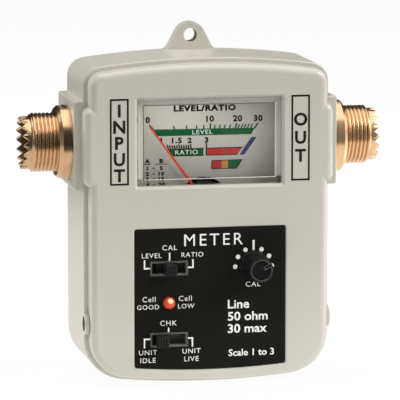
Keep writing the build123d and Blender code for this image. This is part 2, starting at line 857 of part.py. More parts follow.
# Indicator lamp and its leads
lamp_seat = cover_inside - running_gap
lamp_back = lamp_seat - lamp_flange_height
with BuildPart() as indicator_lamp:
    slab(disc(lamp_flange_radius, switch_x, lamp_height), lamp_back, lamp_seat)
    slab(disc(lamp_radius, switch_x, lamp_height), lamp_back, face_depth + lamp_proud)
    with Locations((switch_x, -face_depth - lamp_proud, lamp_height)):
        Sphere(lamp_radius)
indicator_lamp.part.label = "indicator_lamp"
export_step(indicator_lamp.part, "parts/indicator_lamp.step")

with BuildPart() as lamp_leads:
    for x in lamp_lead_xs:
        slab(rectangle(lamp_lead_size, lamp_lead_size, x, lamp_height), tail_depth, lamp_back)
lamp_leads.part.label = "lamp_leads"
export_step(lamp_leads.part, "parts/lamp_leads.step")

# Meter: clear window, housing with the movement's well, scale plate and screws
with BuildPart() as meter_window:
    slab(rectangle(meter_width, meter_height, 0, meter_center), housing_front, flange_front)
    front = rectangle(
        window_width - window_gap * 2,
        window_height - window_gap * 2,
        0,
        window_center,
    )
    slab(front, flange_front, face_depth - window_sink)
    fillet(meter_window.edges().group_by(Axis.Y)[0], window_edge_radius)
    with BuildSketch(depth_plane(housing_front)) as inside:
        add(rectangle(
            window_width - (window_gap + window_wall) * 2,
            window_height - (window_gap + window_wall) * 2,
            0,
            window_center,
        ))
    pocket_depth = face_depth - window_sink - window_skin - housing_front
    extrude(inside.sketch, amount=pocket_depth, taper=window_draft, mode=Mode.SUBTRACT)
meter_window.part.label = "meter_window"
export_step(meter_window.part, "parts/meter_window.step")

plate_width = meter_width - (meter_wall + plate_gap) * 2
plate_top = meter_top - meter_wall - plate_gap
with BuildPart() as meter_housing:
    slab(rectangle(meter_width, meter_height, 0, meter_center), housing_back, housing_front)
    tray = rectangle(meter_width - meter_wall * 2, meter_height - meter_wall * 2, 0, meter_center)
    slab(tray, housing_floor, housing_front, Mode.SUBTRACT)
    slab(disc(well_radius + well_wall, pivot_x, pivot_height), well_back, housing_back)
    slab(disc(well_radius, pivot_x, pivot_height), well_floor, housing_floor, Mode.SUBTRACT)
    slab(disc(bush_radius, pivot_x, pivot_height), well_back, well_floor, Mode.SUBTRACT)
    for side in (-1, 1):
        ear = rectangle(
            meter_ear, meter_ear_height, side * meter_screw_x, meter_bottom + meter_ear_height / 2
        )
        slab(ear, ear_back, ear_front)
        screw_hole = disc(meter_screw_radius + pin_hole_gap, side * meter_screw_x, meter_screw_height)
        slab(screw_hole, ear_back - overrun, ear_front + overrun, Mode.SUBTRACT)
        for z in (plate_bottom + plate_post_inset, plate_top - plate_post_inset):
            post = disc(plate_post_radius, side * (plate_width / 2 - plate_post_inset), z)
            slab(post, housing_floor, plate_back)
meter_housing.part.label = "meter_housing"
export_step(meter_housing.part, "parts/meter_housing.step")

with BuildPart() as meter_screws:
    for side in (-1, 1):
        x = side * meter_screw_x
        slab(disc(meter_head_radius, x, meter_screw_height), ear_back - meter_head_height, ear_back)
        slab(disc(meter_screw_radius, x, meter_screw_height), ear_back, ear_back + meter_screw_length)
meter_screws.part.label = "meter_screws"
export_step(meter_screws.part, "parts/meter_screws.step")

with BuildPart() as meter_scale_plate:
    plate = rectangle(plate_width, plate_top - plate_bottom, 0, (plate_top + plate_bottom) / 2)
    slab(plate, plate_back, plate_front)
    notch = disc(plate_notch_radius, pivot_x, pivot_height - plate_notch_drop)
    slab(notch, plate_back, plate_front, Mode.SUBTRACT)
meter_scale_plate.part.label = "meter_scale_plate"
export_step(meter_scale_plate.part, "parts/meter_scale_plate.step")

# Movement: yoke and core stay, the coil turns in the gap between them
with BuildPart() as meter_yoke:
    slab(disc(well_radius - press_gap, pivot_x, pivot_height), well_floor, yoke_front)
    slab(disc(yoke_inner_radius, pivot_x, pivot_height), well_floor, yoke_front, Mode.SUBTRACT)
meter_yoke.part.label = "meter_yoke"
export_step(meter_yoke.part, "parts/meter_yoke.step")

core_back = coil_back + coil_end + core_gap
core_front = coil_front - coil_end - core_gap
with BuildPart() as meter_core:
    slab(disc(core_radius, pivot_x, pivot_height), core_back, core_front)
    with BuildSketch(depth_plane(core_back)) as arms:
        with Locations((pivot_x, pivot_height)):
            Rectangle(core_arm_width, yoke_inner_radius * 2)
            Circle(yoke_inner_radius - press_gap, mode=Mode.INTERSECT)
    extrude(arms.sketch, amount=core_front - core_back)
meter_core.part.label = "meter_core"
export_step(meter_core.part, "parts/meter_core.step")

with BuildPart() as meter_coil:
    slab(rectangle(coil_outer * 2, coil_width, pivot_x, pivot_height, 0, rest_angle), coil_back, coil_front)
    middle = rectangle(coil_inner * 2, coil_width + overrun, pivot_x, pivot_height, 0, rest_angle)
    slab(middle, coil_back + coil_end, coil_front - coil_end, Mode.SUBTRACT)
meter_coil.part.label = "meter_coil"
export_step(meter_coil.part, "parts/meter_coil.step")

with BuildPart() as meter_shafts:
    slab(disc(pivot_radius, pivot_x, pivot_height), well_back + running_gap, coil_back)
    slab(disc(pivot_radius, pivot_x, pivot_height), coil_front, bridge_front - running_gap)
meter_shafts.part.label = "meter_shafts"
export_step(meter_shafts.part, "parts/meter_shafts.step")

with BuildPart() as meter_bushes:
    for near, far in ((well_back, well_back + bush_length), (bridge_back, bridge_front)):
        slab(disc(bush_radius - press_gap, pivot_x, pivot_height), near, far)
    slab(disc(pivot_radius + running_gap, pivot_x, pivot_height), well_back, bridge_front, Mode.SUBTRACT)
meter_bushes.part.label = "meter_bushes"
export_step(meter_bushes.part, "parts/meter_bushes.step")

with BuildPart() as meter_hub:
    slab(disc(hub_radius, pivot_x, pivot_height), hub_back, hub_front)
    with BuildSketch(depth_plane(hub_back)) as tail:
        with Locations(Location((pivot_x, pivot_height), rest_angle)):
            with Locations((0, -tail_length / 2)):
                Rectangle(tail_width, tail_length)
            with Locations((0, weight_length / 2 - tail_length)):
                Rectangle(weight_width, weight_length)
    extrude(tail.sketch, amount=hub_height)
    slab(disc(pivot_radius + press_gap, pivot_x, pivot_height), hub_back, hub_front, Mode.SUBTRACT)
    with BuildSketch(depth_plane(needle_back - press_gap)) as seat:
        with Locations(Location((pivot_x, pivot_height), rest_angle)):
            with Locations((0, hub_radius)):
                Rectangle(needle_root_width + press_gap * 2, hub_radius)
    extrude(seat.sketch, amount=needle_thickness + press_gap * 2, mode=Mode.SUBTRACT)
meter_hub.part.label = "meter_hub"
export_step(meter_hub.part, "parts/meter_hub.step")

with BuildPart() as meter_needle:
    with BuildSketch(depth_plane(needle_back)) as blade:
        with BuildLine(Location((pivot_x, pivot_height), rest_angle)):
            Polyline(
                (-needle_root_width / 2, hub_radius / 2 + press_gap),
                (-needle_tip_width / 2, needle_length),
                (needle_tip_width / 2, needle_length),
                (needle_root_width / 2, hub_radius / 2 + press_gap),
                close=True,
            )
        make_face()
    extrude(blade.sketch, amount=needle_thickness)
meter_needle.part.label = "meter_needle"
export_step(meter_needle.part, "parts/meter_needle.step")

with BuildPart() as meter_hairspring:
    with BuildSketch(depth_plane(spring_back)) as coil_flat:
        with BuildLine() as spiral:
            for i in range(spring_turns * 2):
                inner = spring_inner + i * spring_step / 2
                start = inner if i % 2 == 0 else -inner
                end = -inner - spring_step / 2 if i % 2 == 0 else inner + spring_step / 2
                middle_x = (start + end) / 2
                bulge = abs(start - end) / 2 * (1 if i % 2 == 0 else -1)
                ThreePointArc(
                    (pivot_x + start, pivot_height),
                    (pivot_x + middle_x, pivot_height + bulge),
                    (pivot_x + end, pivot_height),
                )
        trace(spiral.line, line_width=spring_wire)
    extrude(coil_flat.sketch, amount=spring_height)
    slab(disc(spring_inner + spring_wire, pivot_x, pivot_height), spring_back, spring_back + spring_height)
    collar_bore = disc(pivot_radius + press_gap, pivot_x, pivot_height)
    slab(collar_bore, spring_back, spring_back + spring_height, Mode.SUBTRACT)
meter_hairspring.part.label = "meter_hairspring"
export_step(meter_hairspring.part, "parts/meter_hairspring.step")

with BuildPart() as meter_bridge:
    with BuildSketch(depth_plane(bridge_back)) as bridge_plate:
        add(disc(bridge_radius, pivot_x, pivot_height - bridge_drop))
        neck_length = pivot_height - bridge_foot_height
        add(rectangle(bridge_neck_width, neck_length, pivot_x, pivot_height - neck_length / 2))
        add(rectangle(bridge_foot_x * 2, bridge_foot_radius * 2, pivot_x, bridge_foot_height))
        for side in (-1, 1):
            add(disc(bridge_foot_radius, pivot_x + side * bridge_foot_x, bridge_foot_height))
        tray_inset = (meter_wall + plate_gap) * 2
        room = rectangle(meter_width - tray_inset, meter_height - tray_inset, 0, meter_center)
        add(room, mode=Mode.INTERSECT)
    extrude(bridge_plate.sketch, amount=bridge_thickness)
    for side in (-1, 1):
        foot = disc(bridge_foot_radius, pivot_x + side * bridge_foot_x, bridge_foot_height)
        slab(foot, housing_floor, bridge_front)
    slab(disc(bush_radius, pivot_x, pivot_height), bridge_back, bridge_front, Mode.SUBTRACT)
meter_bridge.part.label = "meter_bridge"
export_step(meter_bridge.part, "parts/meter_bridge.step")

terminal_back = housing_back - terminal_length
with BuildPart() as meter_terminals:
    for side in (-1, 1):
        x = side * terminal_x
        slab(disc(terminal_radius, x, terminal_height), terminal_back, housing_back)
        with BuildSketch(depth_plane(housing_back - terminal_nut_height)) as nut_face_sketch:
            with Locations((x, terminal_height)):
                RegularPolygon(terminal_nut_radius, 6)
        extrude(nut_face_sketch.sketch, amount=terminal_nut_height)
meter_terminals.part.label = "meter_terminals"
export_step(meter_terminals.part, "parts/meter_terminals.step")

with BuildPart() as meter_leads:
    lead_depth = (terminal_back + housing_back - terminal_nut_height) / 2
    for side in (-1, 1):
        x = side * terminal_x
        wire(
            [
                (x, -lead_depth, terminal_height - terminal_radius),
                (x, -lead_depth, lead_landing),
                (x, -board_back, lead_landing),
            ],
            lead_radius,
            lead_bend,
        )
meter_leads.part.label = "meter_leads"
export_step(meter_leads.part, "parts/meter_leads.step")

# Ports: threaded shell with a toothed nose, insulator, contact, washer and nut
thread_start = nut_face
thread_end = port_tip - nose_length
groove_count = int((thread_end - nose_chamfer - thread_start) / thread_pitch)
groove_half = thread_pitch * (1 - thread_crest_share) / 2
tooth_angle = 360 / tooth_count
tooth_half = Vector(nose_radius, 0).rotate(Axis.Z, tooth_angle / 2).Y
for port_name, side in (("left", -1), ("right", 1)):
    axis_origin = (0, -port_depth, port_height)
    profile_plane = Plane(origin=axis_origin, x_dir=(side, 0, 0), z_dir=(0, -1, 0))
    with BuildPart() as port_shell:
        with BuildSketch(profile_plane) as shell_section:
            with BuildLine():
                points = [
                    (flange_back, port_bore_radius),
                    (flange_back, port_flange_radius),
                    (pad_inside, port_flange_radius),
                    (pad_inside, thread_radius),
                ]
                for i in range(groove_count):
                    root = thread_start + (i + 1 / 2) * thread_pitch
                    points += [
                        (root - groove_half, thread_radius),
                        (root, thread_radius - thread_depth),
                        (root + groove_half, thread_radius),
                    ]
                points += [
                    (thread_end - nose_chamfer, thread_radius),
                    (thread_end, nose_radius),
                    (port_tip, nose_radius),
                    (port_tip, port_bore_radius),
                ]
                Polyline(*points, close=True)
            make_face()
        revolve(shell_section.sketch, axis=Axis(axis_origin, (1, 0, 0)))
        for i in range(tooth_count):
            across = Vector(0, 1, 0).rotate(Axis.X, tooth_angle * i)
            outward = Vector(0, 0, 1).rotate(Axis.X, tooth_angle * i)
            tooth_plane = Plane(
                origin=(side * port_tip, -port_depth, port_height), x_dir=across, z_dir=outward
            )
            with BuildSketch(tooth_plane) as gullet:
                with BuildLine():
                    Polyline(
                        (-tooth_half, 0),
                        (0, side * tooth_depth),
                        (tooth_half, 0),
                        (tooth_half, -side * overrun),
                        (-tooth_half, -side * overrun),
                        close=True,
                    )
                make_face()
            extrude(gullet.sketch, amount=nose_radius + overrun, mode=Mode.SUBTRACT)
    port_shell.part.label = f"{port_name}_port_shell"
    export_step(port_shell.part, f"parts/{port_name}_port_shell.step")

    with BuildPart() as port_insulator:
        insulator_plane = side_plane(side, flange_back, port_depth, port_height)
        side_slab(disc(port_bore_radius - press_gap), insulator_plane, insulator_length)
        side_slab(disc(contact_radius + press_gap), insulator_plane, insulator_length, Mode.SUBTRACT)
    port_insulator.part.label = f"{port_name}_port_insulator"
    export_step(port_insulator.part, f"parts/{port_name}_port_insulator.step")

    with BuildPart() as port_contact:
        contact_plane = side_plane(side, contact_end, port_depth, port_height)
        side_slab(disc(contact_radius), contact_plane, contact_tip - contact_end)
        bore_plane = side_plane(side, contact_tip - contact_bore_depth, port_depth, port_height)
        side_slab(disc(contact_bore_radius), bore_plane, contact_bore_depth, Mode.SUBTRACT)
    port_contact.part.label = f"{port_name}_port_contact"
    export_step(port_contact.part, f"parts/{port_name}_port_contact.step")

    with BuildPart() as port_washer:
        washer_plane = side_plane(side, pad_face, port_depth, port_height)
        side_slab(disc(washer_radius), washer_plane, washer_thickness)
        side_slab(disc(thread_radius + port_hole_gap), washer_plane, washer_thickness, Mode.SUBTRACT)
    port_washer.part.label = f"{port_name}_port_washer"
    export_step(port_washer.part, f"parts/{port_name}_port_washer.step")

    with BuildPart() as port_nut:
        nut_plane = side_plane(side, washer_face, port_depth, port_height)
        side_slab(disc(nut_radius), nut_plane, nut_thickness)
        outer_face = port_nut.faces().sort_by(Axis.X)[-1 if side > 0 else 0]
        chamfer(outer_face.edges(), nut_chamfer)
        with BuildSketch(nut_plane) as wrench_flats:
            Rectangle(nut_radius * 2, nut_flats)
        extrude(wrench_flats.sketch, amount=nut_thickness, mode=Mode.INTERSECT)
        side_slab(disc(thread_radius + press_gap), nut_plane, nut_thickness, Mode.SUBTRACT)
    port_nut.part.label = f"{port_name}_port_nut"
    export_step(port_nut.part, f"parts/{port_name}_port_nut.step")

# Through line in its trough, with the pick-up board over the trough's open side
with BuildPart() as through_line:
    side_slab(disc(line_radius), side_plane(1, -contact_end, port_depth, port_height), contact_end * 2)
through_line.part.label = "through_line"
export_step(through_line.part, "parts/through_line.step")

trough_back = port_depth - shield_size / 2
trough_length = (flange_back - shield_end_gap) * 2
with BuildPart() as line_shield:
    slab(rectangle(trough_length, shield_size, 0, port_height), trough_back, pickup_back)
    channel = rectangle(trough_length + overrun, shield_size - shield_wall * 2, 0, port_height)
    slab(channel, trough_back + shield_wall, pickup_back, Mode.SUBTRACT)
line_shield.part.label = "line_shield"
export_step(line_shield.part, "parts/line_shield.step")

with BuildPart() as pickup_board:
    slab(
        rectangle(pickup_width, shield_size, 0, port_height), pickup_back, pickup_back + pickup_thickness
    )
pickup_board.part.label = "pickup_board"
export_step(pickup_board.part, "parts/pickup_board.step")

with BuildPart() as pickup_leads:
    lead_depth = pickup_back + pickup_thickness / 2
    for side in (-1, 1):
        x = side * pickup_lead_x
        wire(
            [
                (x, -lead_depth, port_height - shield_size / 2),
                (x, -lead_depth, lead_landing),
                (x, -board_back, lead_landing),
            ],
            lead_radius,
            lead_bend,
        )
pickup_leads.part.label = "pickup_leads"
export_step(pickup_leads.part, "parts/pickup_leads.step")
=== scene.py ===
import math
import bpy
import bmesh
from mathutils import Matrix, Vector


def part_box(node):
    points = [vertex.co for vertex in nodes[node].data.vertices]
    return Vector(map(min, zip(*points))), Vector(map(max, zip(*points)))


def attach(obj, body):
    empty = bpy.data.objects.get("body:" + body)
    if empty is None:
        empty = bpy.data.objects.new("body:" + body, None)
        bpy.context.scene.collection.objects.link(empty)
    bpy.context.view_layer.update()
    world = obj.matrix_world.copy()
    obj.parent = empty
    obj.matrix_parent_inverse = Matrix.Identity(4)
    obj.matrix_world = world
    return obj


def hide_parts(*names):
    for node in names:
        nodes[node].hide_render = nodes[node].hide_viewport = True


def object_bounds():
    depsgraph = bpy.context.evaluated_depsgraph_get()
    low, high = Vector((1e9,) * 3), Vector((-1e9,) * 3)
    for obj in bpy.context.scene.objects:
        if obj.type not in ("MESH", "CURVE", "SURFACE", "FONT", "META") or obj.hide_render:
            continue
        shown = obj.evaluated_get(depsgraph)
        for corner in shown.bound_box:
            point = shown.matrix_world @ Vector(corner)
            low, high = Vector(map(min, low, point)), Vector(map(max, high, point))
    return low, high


# Looks of the handheld antenna tester: finishes, prints, threads, light and camera.
# The front faces -Y. Prints, threads and trim are in millimetres, finishes, light and camera in metres.
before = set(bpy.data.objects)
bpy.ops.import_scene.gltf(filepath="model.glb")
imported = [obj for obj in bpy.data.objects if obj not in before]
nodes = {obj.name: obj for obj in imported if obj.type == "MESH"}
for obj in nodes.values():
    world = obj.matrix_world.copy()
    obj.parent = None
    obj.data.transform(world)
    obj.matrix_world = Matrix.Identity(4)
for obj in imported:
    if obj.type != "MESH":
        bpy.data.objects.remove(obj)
cadLow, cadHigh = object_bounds()
mm = 0.001


# Middle of a node, in millimetres
def middleOf(name):
    low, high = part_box(name)
    return (low + high) / (2 * mm)


# Small helpers for shader nodes

def newGroup(name, inputs, outputs):
    group = bpy.data.node_groups.new(name, "ShaderNodeTree")
    for label, value in inputs.items():
        socket = group.interface.new_socket(label, in_out="INPUT", socket_type="NodeSocketFloat")
        socket.default_value = value
    for label, kind in outputs.items():
        group.interface.new_socket(label, in_out="OUTPUT", socket_type=kind)
    return group, group.nodes.new("NodeGroupInput"), group.nodes.new("NodeGroupOutput")


def addNode(tree, kind, **settings):
    node = tree.nodes.new(kind)
    for key, value in settings.items():
        setattr(node, key, value)
    return node


def setIn(node, **values):
    for key, value in values.items():
        node.inputs[key.replace("_", " ")].default_value = value
    return node


def mathNode(tree, operation, first, second=None, clamp=False):
    node = addNode(tree, "ShaderNodeMath", operation=operation, use_clamp=clamp)
    for socket, value in zip(node.inputs, (first, second)):
        if value is None:
            continue
        if isinstance(value, (int, float)):
            socket.default_value = value
        else:
            tree.links.new(value, socket)
    return node.outputs[0]


def mixColor(tree, factor, first, second):
    node = addNode(tree, "ShaderNodeMix", data_type="RGBA")
    sockets = (node.inputs[0], node.inputs[6], node.inputs[7])
    for socket, value in zip(sockets, (factor, first, second)):
        if isinstance(value, (int, float)):
            socket.default_value = value
        elif isinstance(value, tuple):
            socket.default_value = value if len(value) == 4 else (*value, 1.0)
        else:
            tree.links.new(value, socket)
    return node.outputs[2]


def noiseNode(tree, coords, scale, detail=2.0, roughness=0.5):
    node = addNode(tree, "ShaderNodeTexNoise")
    setIn(node, Detail=detail, Roughness=roughness)
    if isinstance(scale, (int, float)):
        node.inputs["Scale"].default_value = scale
    else:
        tree.links.new(scale, node.inputs["Scale"])
    tree.links.new(coords, node.inputs["Vector"])
    return node.outputs["Fac"]


def objectCoords(tree):
    return addNode(tree, "ShaderNodeTexCoord").outputs["Object"]


# Moulded or painted skin: fine grain for bump, slow mottle for colour and gloss
def buildSkinGrain():
    group, inside, outside = newGroup(
        "skinGrain",
        {"Grain Scale": 2600.0, "Mottle Scale": 45.0},
        {"Height": "NodeSocketFloat", "Mottle": "NodeSocketFloat", "Speck": "NodeSocketFloat"},
    )
    coords = objectCoords(group)
    grain = noiseNode(group, coords, inside.outputs["Grain Scale"], detail=3.0, roughness=0.55)
    mottle = noiseNode(group, coords, inside.outputs["Mottle Scale"], detail=4.0, roughness=0.6)
    speckSize, speckFloor, speckEdge = 0.35, 0.62, 6.0
    speckScale = mathNode(group, "MULTIPLY", inside.outputs["Grain Scale"], speckSize)
    fine = noiseNode(group, coords, speckScale, detail=1.0, roughness=0.5)
    speck = mathNode(group, "MULTIPLY", mathNode(group, "SUBTRACT", fine, speckFloor), speckEdge, True)
    group.links.new(grain, outside.inputs["Height"])
    group.links.new(mottle, outside.inputs["Mottle"])
    group.links.new(speck, outside.inputs["Speck"])
    return group


# Rubbed edges and painted edge highlights: a mask where the rounded normal leaves the true one, broken up by
# noise
def buildEdgeWearAndHighlight():
    group, inside, outside = newGroup(
        "edgeWearAndHighlight", {"Width": 0.0004, "Strength": 1.0}, {"Edge": "NodeSocketFloat"}
    )
    soft = addNode(group, "ShaderNodeBevel", samples=6)
    group.links.new(inside.outputs["Width"], soft.inputs["Radius"])
    geometry = addNode(group, "ShaderNodeNewGeometry")
    dot = addNode(group, "ShaderNodeVectorMath", operation="DOT_PRODUCT")
    group.links.new(soft.outputs["Normal"], dot.inputs[0])
    group.links.new(geometry.outputs["Normal"], dot.inputs[1])
    gap = mathNode(group, "SUBTRACT", 1.0, dot.outputs["Value"], True)
    broken = noiseNode(group, objectCoords(group), scale=900.0, detail=3.0, roughness=0.6)
    contrast = 6.0
    edge = mathNode(group, "MULTIPLY", mathNode(group, "MULTIPLY", gap, contrast), broken)
    wornAndHighlit = mathNode(group, "MULTIPLY", edge, inside.outputs["Strength"], True)
    group.links.new(wornAndHighlit, outside.inputs["Edge"])
    return group


# Lathe marks: streaks that run round the X axis, finer along it
def buildLatheMarks():
    group, inside, outside = newGroup(
        "latheMarks", {"Pitch Scale": 9000.0, "Stain Scale": 260.0},
        {"Height": "NodeSocketFloat", "Stain": "NodeSocketFloat"},
    )
    coords = objectCoords(group)
    split = addNode(group, "ShaderNodeSeparateXYZ")
    group.links.new(coords, split.inputs[0])
    squeeze = addNode(group, "ShaderNodeCombineXYZ")
    group.links.new(split.outputs["X"], squeeze.inputs["X"])
    roundShare = 0.02
    for axis in ("Y", "Z"):
        group.links.new(mathNode(group, "MULTIPLY", split.outputs[axis], roundShare), squeeze.inputs[axis])
    streak = noiseNode(group, squeeze.outputs[0], inside.outputs["Pitch Scale"], detail=2.0, roughness=0.6)
    stain = noiseNode(group, coords, inside.outputs["Stain Scale"], detail=5.0, roughness=0.65)
    group.links.new(streak, outside.inputs["Height"])
    group.links.new(stain, outside.inputs["Stain"])
    return group


# Painted shade with some dirt: a darker colour in corners and thread roots, where ambient occlusion finds
# them
def buildCornerShadeAndDirt():
    group, inside, outside = newGroup(
        "cornerShadeAndDirt", {"Reach": 0.0012, "Strength": 1.0}, {"Shade And Dirt": "NodeSocketFloat"}
    )
    occlusion = addNode(group, "ShaderNodeAmbientOcclusion", samples=6)
    group.links.new(inside.outputs["Reach"], occlusion.inputs["Distance"])
    hidden = mathNode(group, "SUBTRACT", 1.0, occlusion.outputs["AO"], True)
    uneven = noiseNode(group, objectCoords(group), scale=500.0, detail=4.0, roughness=0.6)
    least = 0.35
    shadeAndDirt = mathNode(group, "MULTIPLY", hidden, mathNode(group, "ADD", uneven, least))
    shadedAndSettled = mathNode(group, "MULTIPLY", shadeAndDirt, inside.outputs["Strength"], True)
    group.links.new(shadedAndSettled, outside.inputs["Shade And Dirt"])
    return group


skinGrain = buildSkinGrain()
edgeWearAndHighlight = buildEdgeWearAndHighlight()
latheMarks = buildLatheMarks()
cornerShadeAndDirt = buildCornerShadeAndDirt()


def placeGroup(tree, group, **values):
    return setIn(addNode(tree, "ShaderNodeGroup", node_tree=group), **values)


def startMaterial(name, **principled):
    material = bpy.data.materials.new(name)
    material.use_nodes = True
    shader = setIn(material.node_tree.nodes["Principled BSDF"], **principled)
    return material, material.node_tree, shader


def bumpFrom(tree, shader, height, strength, distance):
    bump = addNode(tree, "ShaderNodeBump")
    setIn(bump, Strength=strength, Distance=distance)
    tree.links.new(height, bump.inputs["Height"])
    tree.links.new(bump.outputs["Normal"], shader.inputs["Normal"])


def shade(color, factor):
    return tuple(min(1.0, c * factor) for c in color)


# A moulded, printed or painted skin
def skinMaterial(name, look):
    material, tree, shader = startMaterial(name, Specular_IOR_Level=look.get("specular", 0.5))
    grain = placeGroup(tree, skinGrain, Grain_Scale=look.get("grain", 2600.0))
    color, spread = look["color"], look["spread"]
    tone = mixColor(tree, grain.outputs["Mottle"], shade(color, 1 - spread), shade(color, 1 + spread))
    # The colour darkens towards the bottom, below a given height
    if look.get("fade"):
        low, high = look["fade"]
        split = addNode(tree, "ShaderNodeSeparateXYZ")
        tree.links.new(objectCoords(tree), split.inputs[0])
        below = mathNode(tree, "SUBTRACT", high, split.outputs["Z"])
        tone = mixColor(tree, mathNode(tree, "DIVIDE", below, high - low, True), tone, look["bottomColor"])
    if look.get("speck"):
        tone = mixColor(
            tree, mathNode(tree, "MULTIPLY", grain.outputs["Speck"], look["speck"]), tone, look["speckColor"])
    # Corners and creases darken: painted shade with some dirt
    if look.get("shadeAndDirt"):
        shadeAndDirt = placeGroup(tree, cornerShadeAndDirt, Strength=look["shadeAndDirt"])
        tone = mixColor(tree, shadeAndDirt.outputs["Shade And Dirt"], tone, look["shadeAndDirtColor"])
    # Paler edges: partly rubbed wear, partly a painted highlight
    if look.get("wearAndHighlight"):
        wearAndHighlight = placeGroup(tree, edgeWearAndHighlight, Width=look.get("wearAndHighlightWidth", 0.0004), Strength=look["wearAndHighlight"])
        tone = mixColor(tree, wearAndHighlight.outputs["Edge"], tone, look["wearAndHighlightColor"])
    tree.links.new(tone, shader.inputs["Base Color"])
    low, high = look["gloss"]
    gloss = mathNode(tree, "ADD", mathNode(tree, "MULTIPLY", grain.outputs["Mottle"], high - low), low)
    tree.links.new(gloss, shader.inputs["Roughness"])
    bumpFrom(tree, shader, grain.outputs["Height"], strength=look["bump"], distance=0.00005)
    return material


# A turned or plated metal
def metalMaterial(name, look):
    material, tree, shader = startMaterial(name, Metallic=1.0)
    marks = placeGroup(tree, latheMarks)
    color, spread = look["color"], look["spread"]
    tone = mixColor(tree, marks.outputs["Stain"], shade(color, 1 - spread), shade(color, 1 + spread))
    # Corners and thread roots darken: painted shade with some dirt
    if look.get("shadeAndDirt"):
        shadeAndDirt = placeGroup(tree, cornerShadeAndDirt, Reach=0.0007, Strength=look["shadeAndDirt"])
        tone = mixColor(tree, shadeAndDirt.outputs["Shade And Dirt"], tone, look["shadeAndDirtColor"])
    # Paler edges: partly rubbed wear, partly a painted highlight
    if look.get("wearAndHighlight"):
        wearAndHighlight = placeGroup(tree, edgeWearAndHighlight, Width=0.0002, Strength=look["wearAndHighlight"])
        tone = mixColor(tree, wearAndHighlight.outputs["Edge"], tone, look["wearAndHighlightColor"])
    tree.links.new(tone, shader.inputs["Base Color"])
    low, high = look["gloss"]
    gloss = mathNode(tree, "ADD", mathNode(tree, "MULTIPLY", marks.outputs["Stain"], high - low), low)
    tree.links.new(gloss, shader.inputs["Roughness"])
    bumpFrom(tree, shader, marks.outputs["Height"], strength=look.get("bump", 0.1), distance=0.00002)
    return material


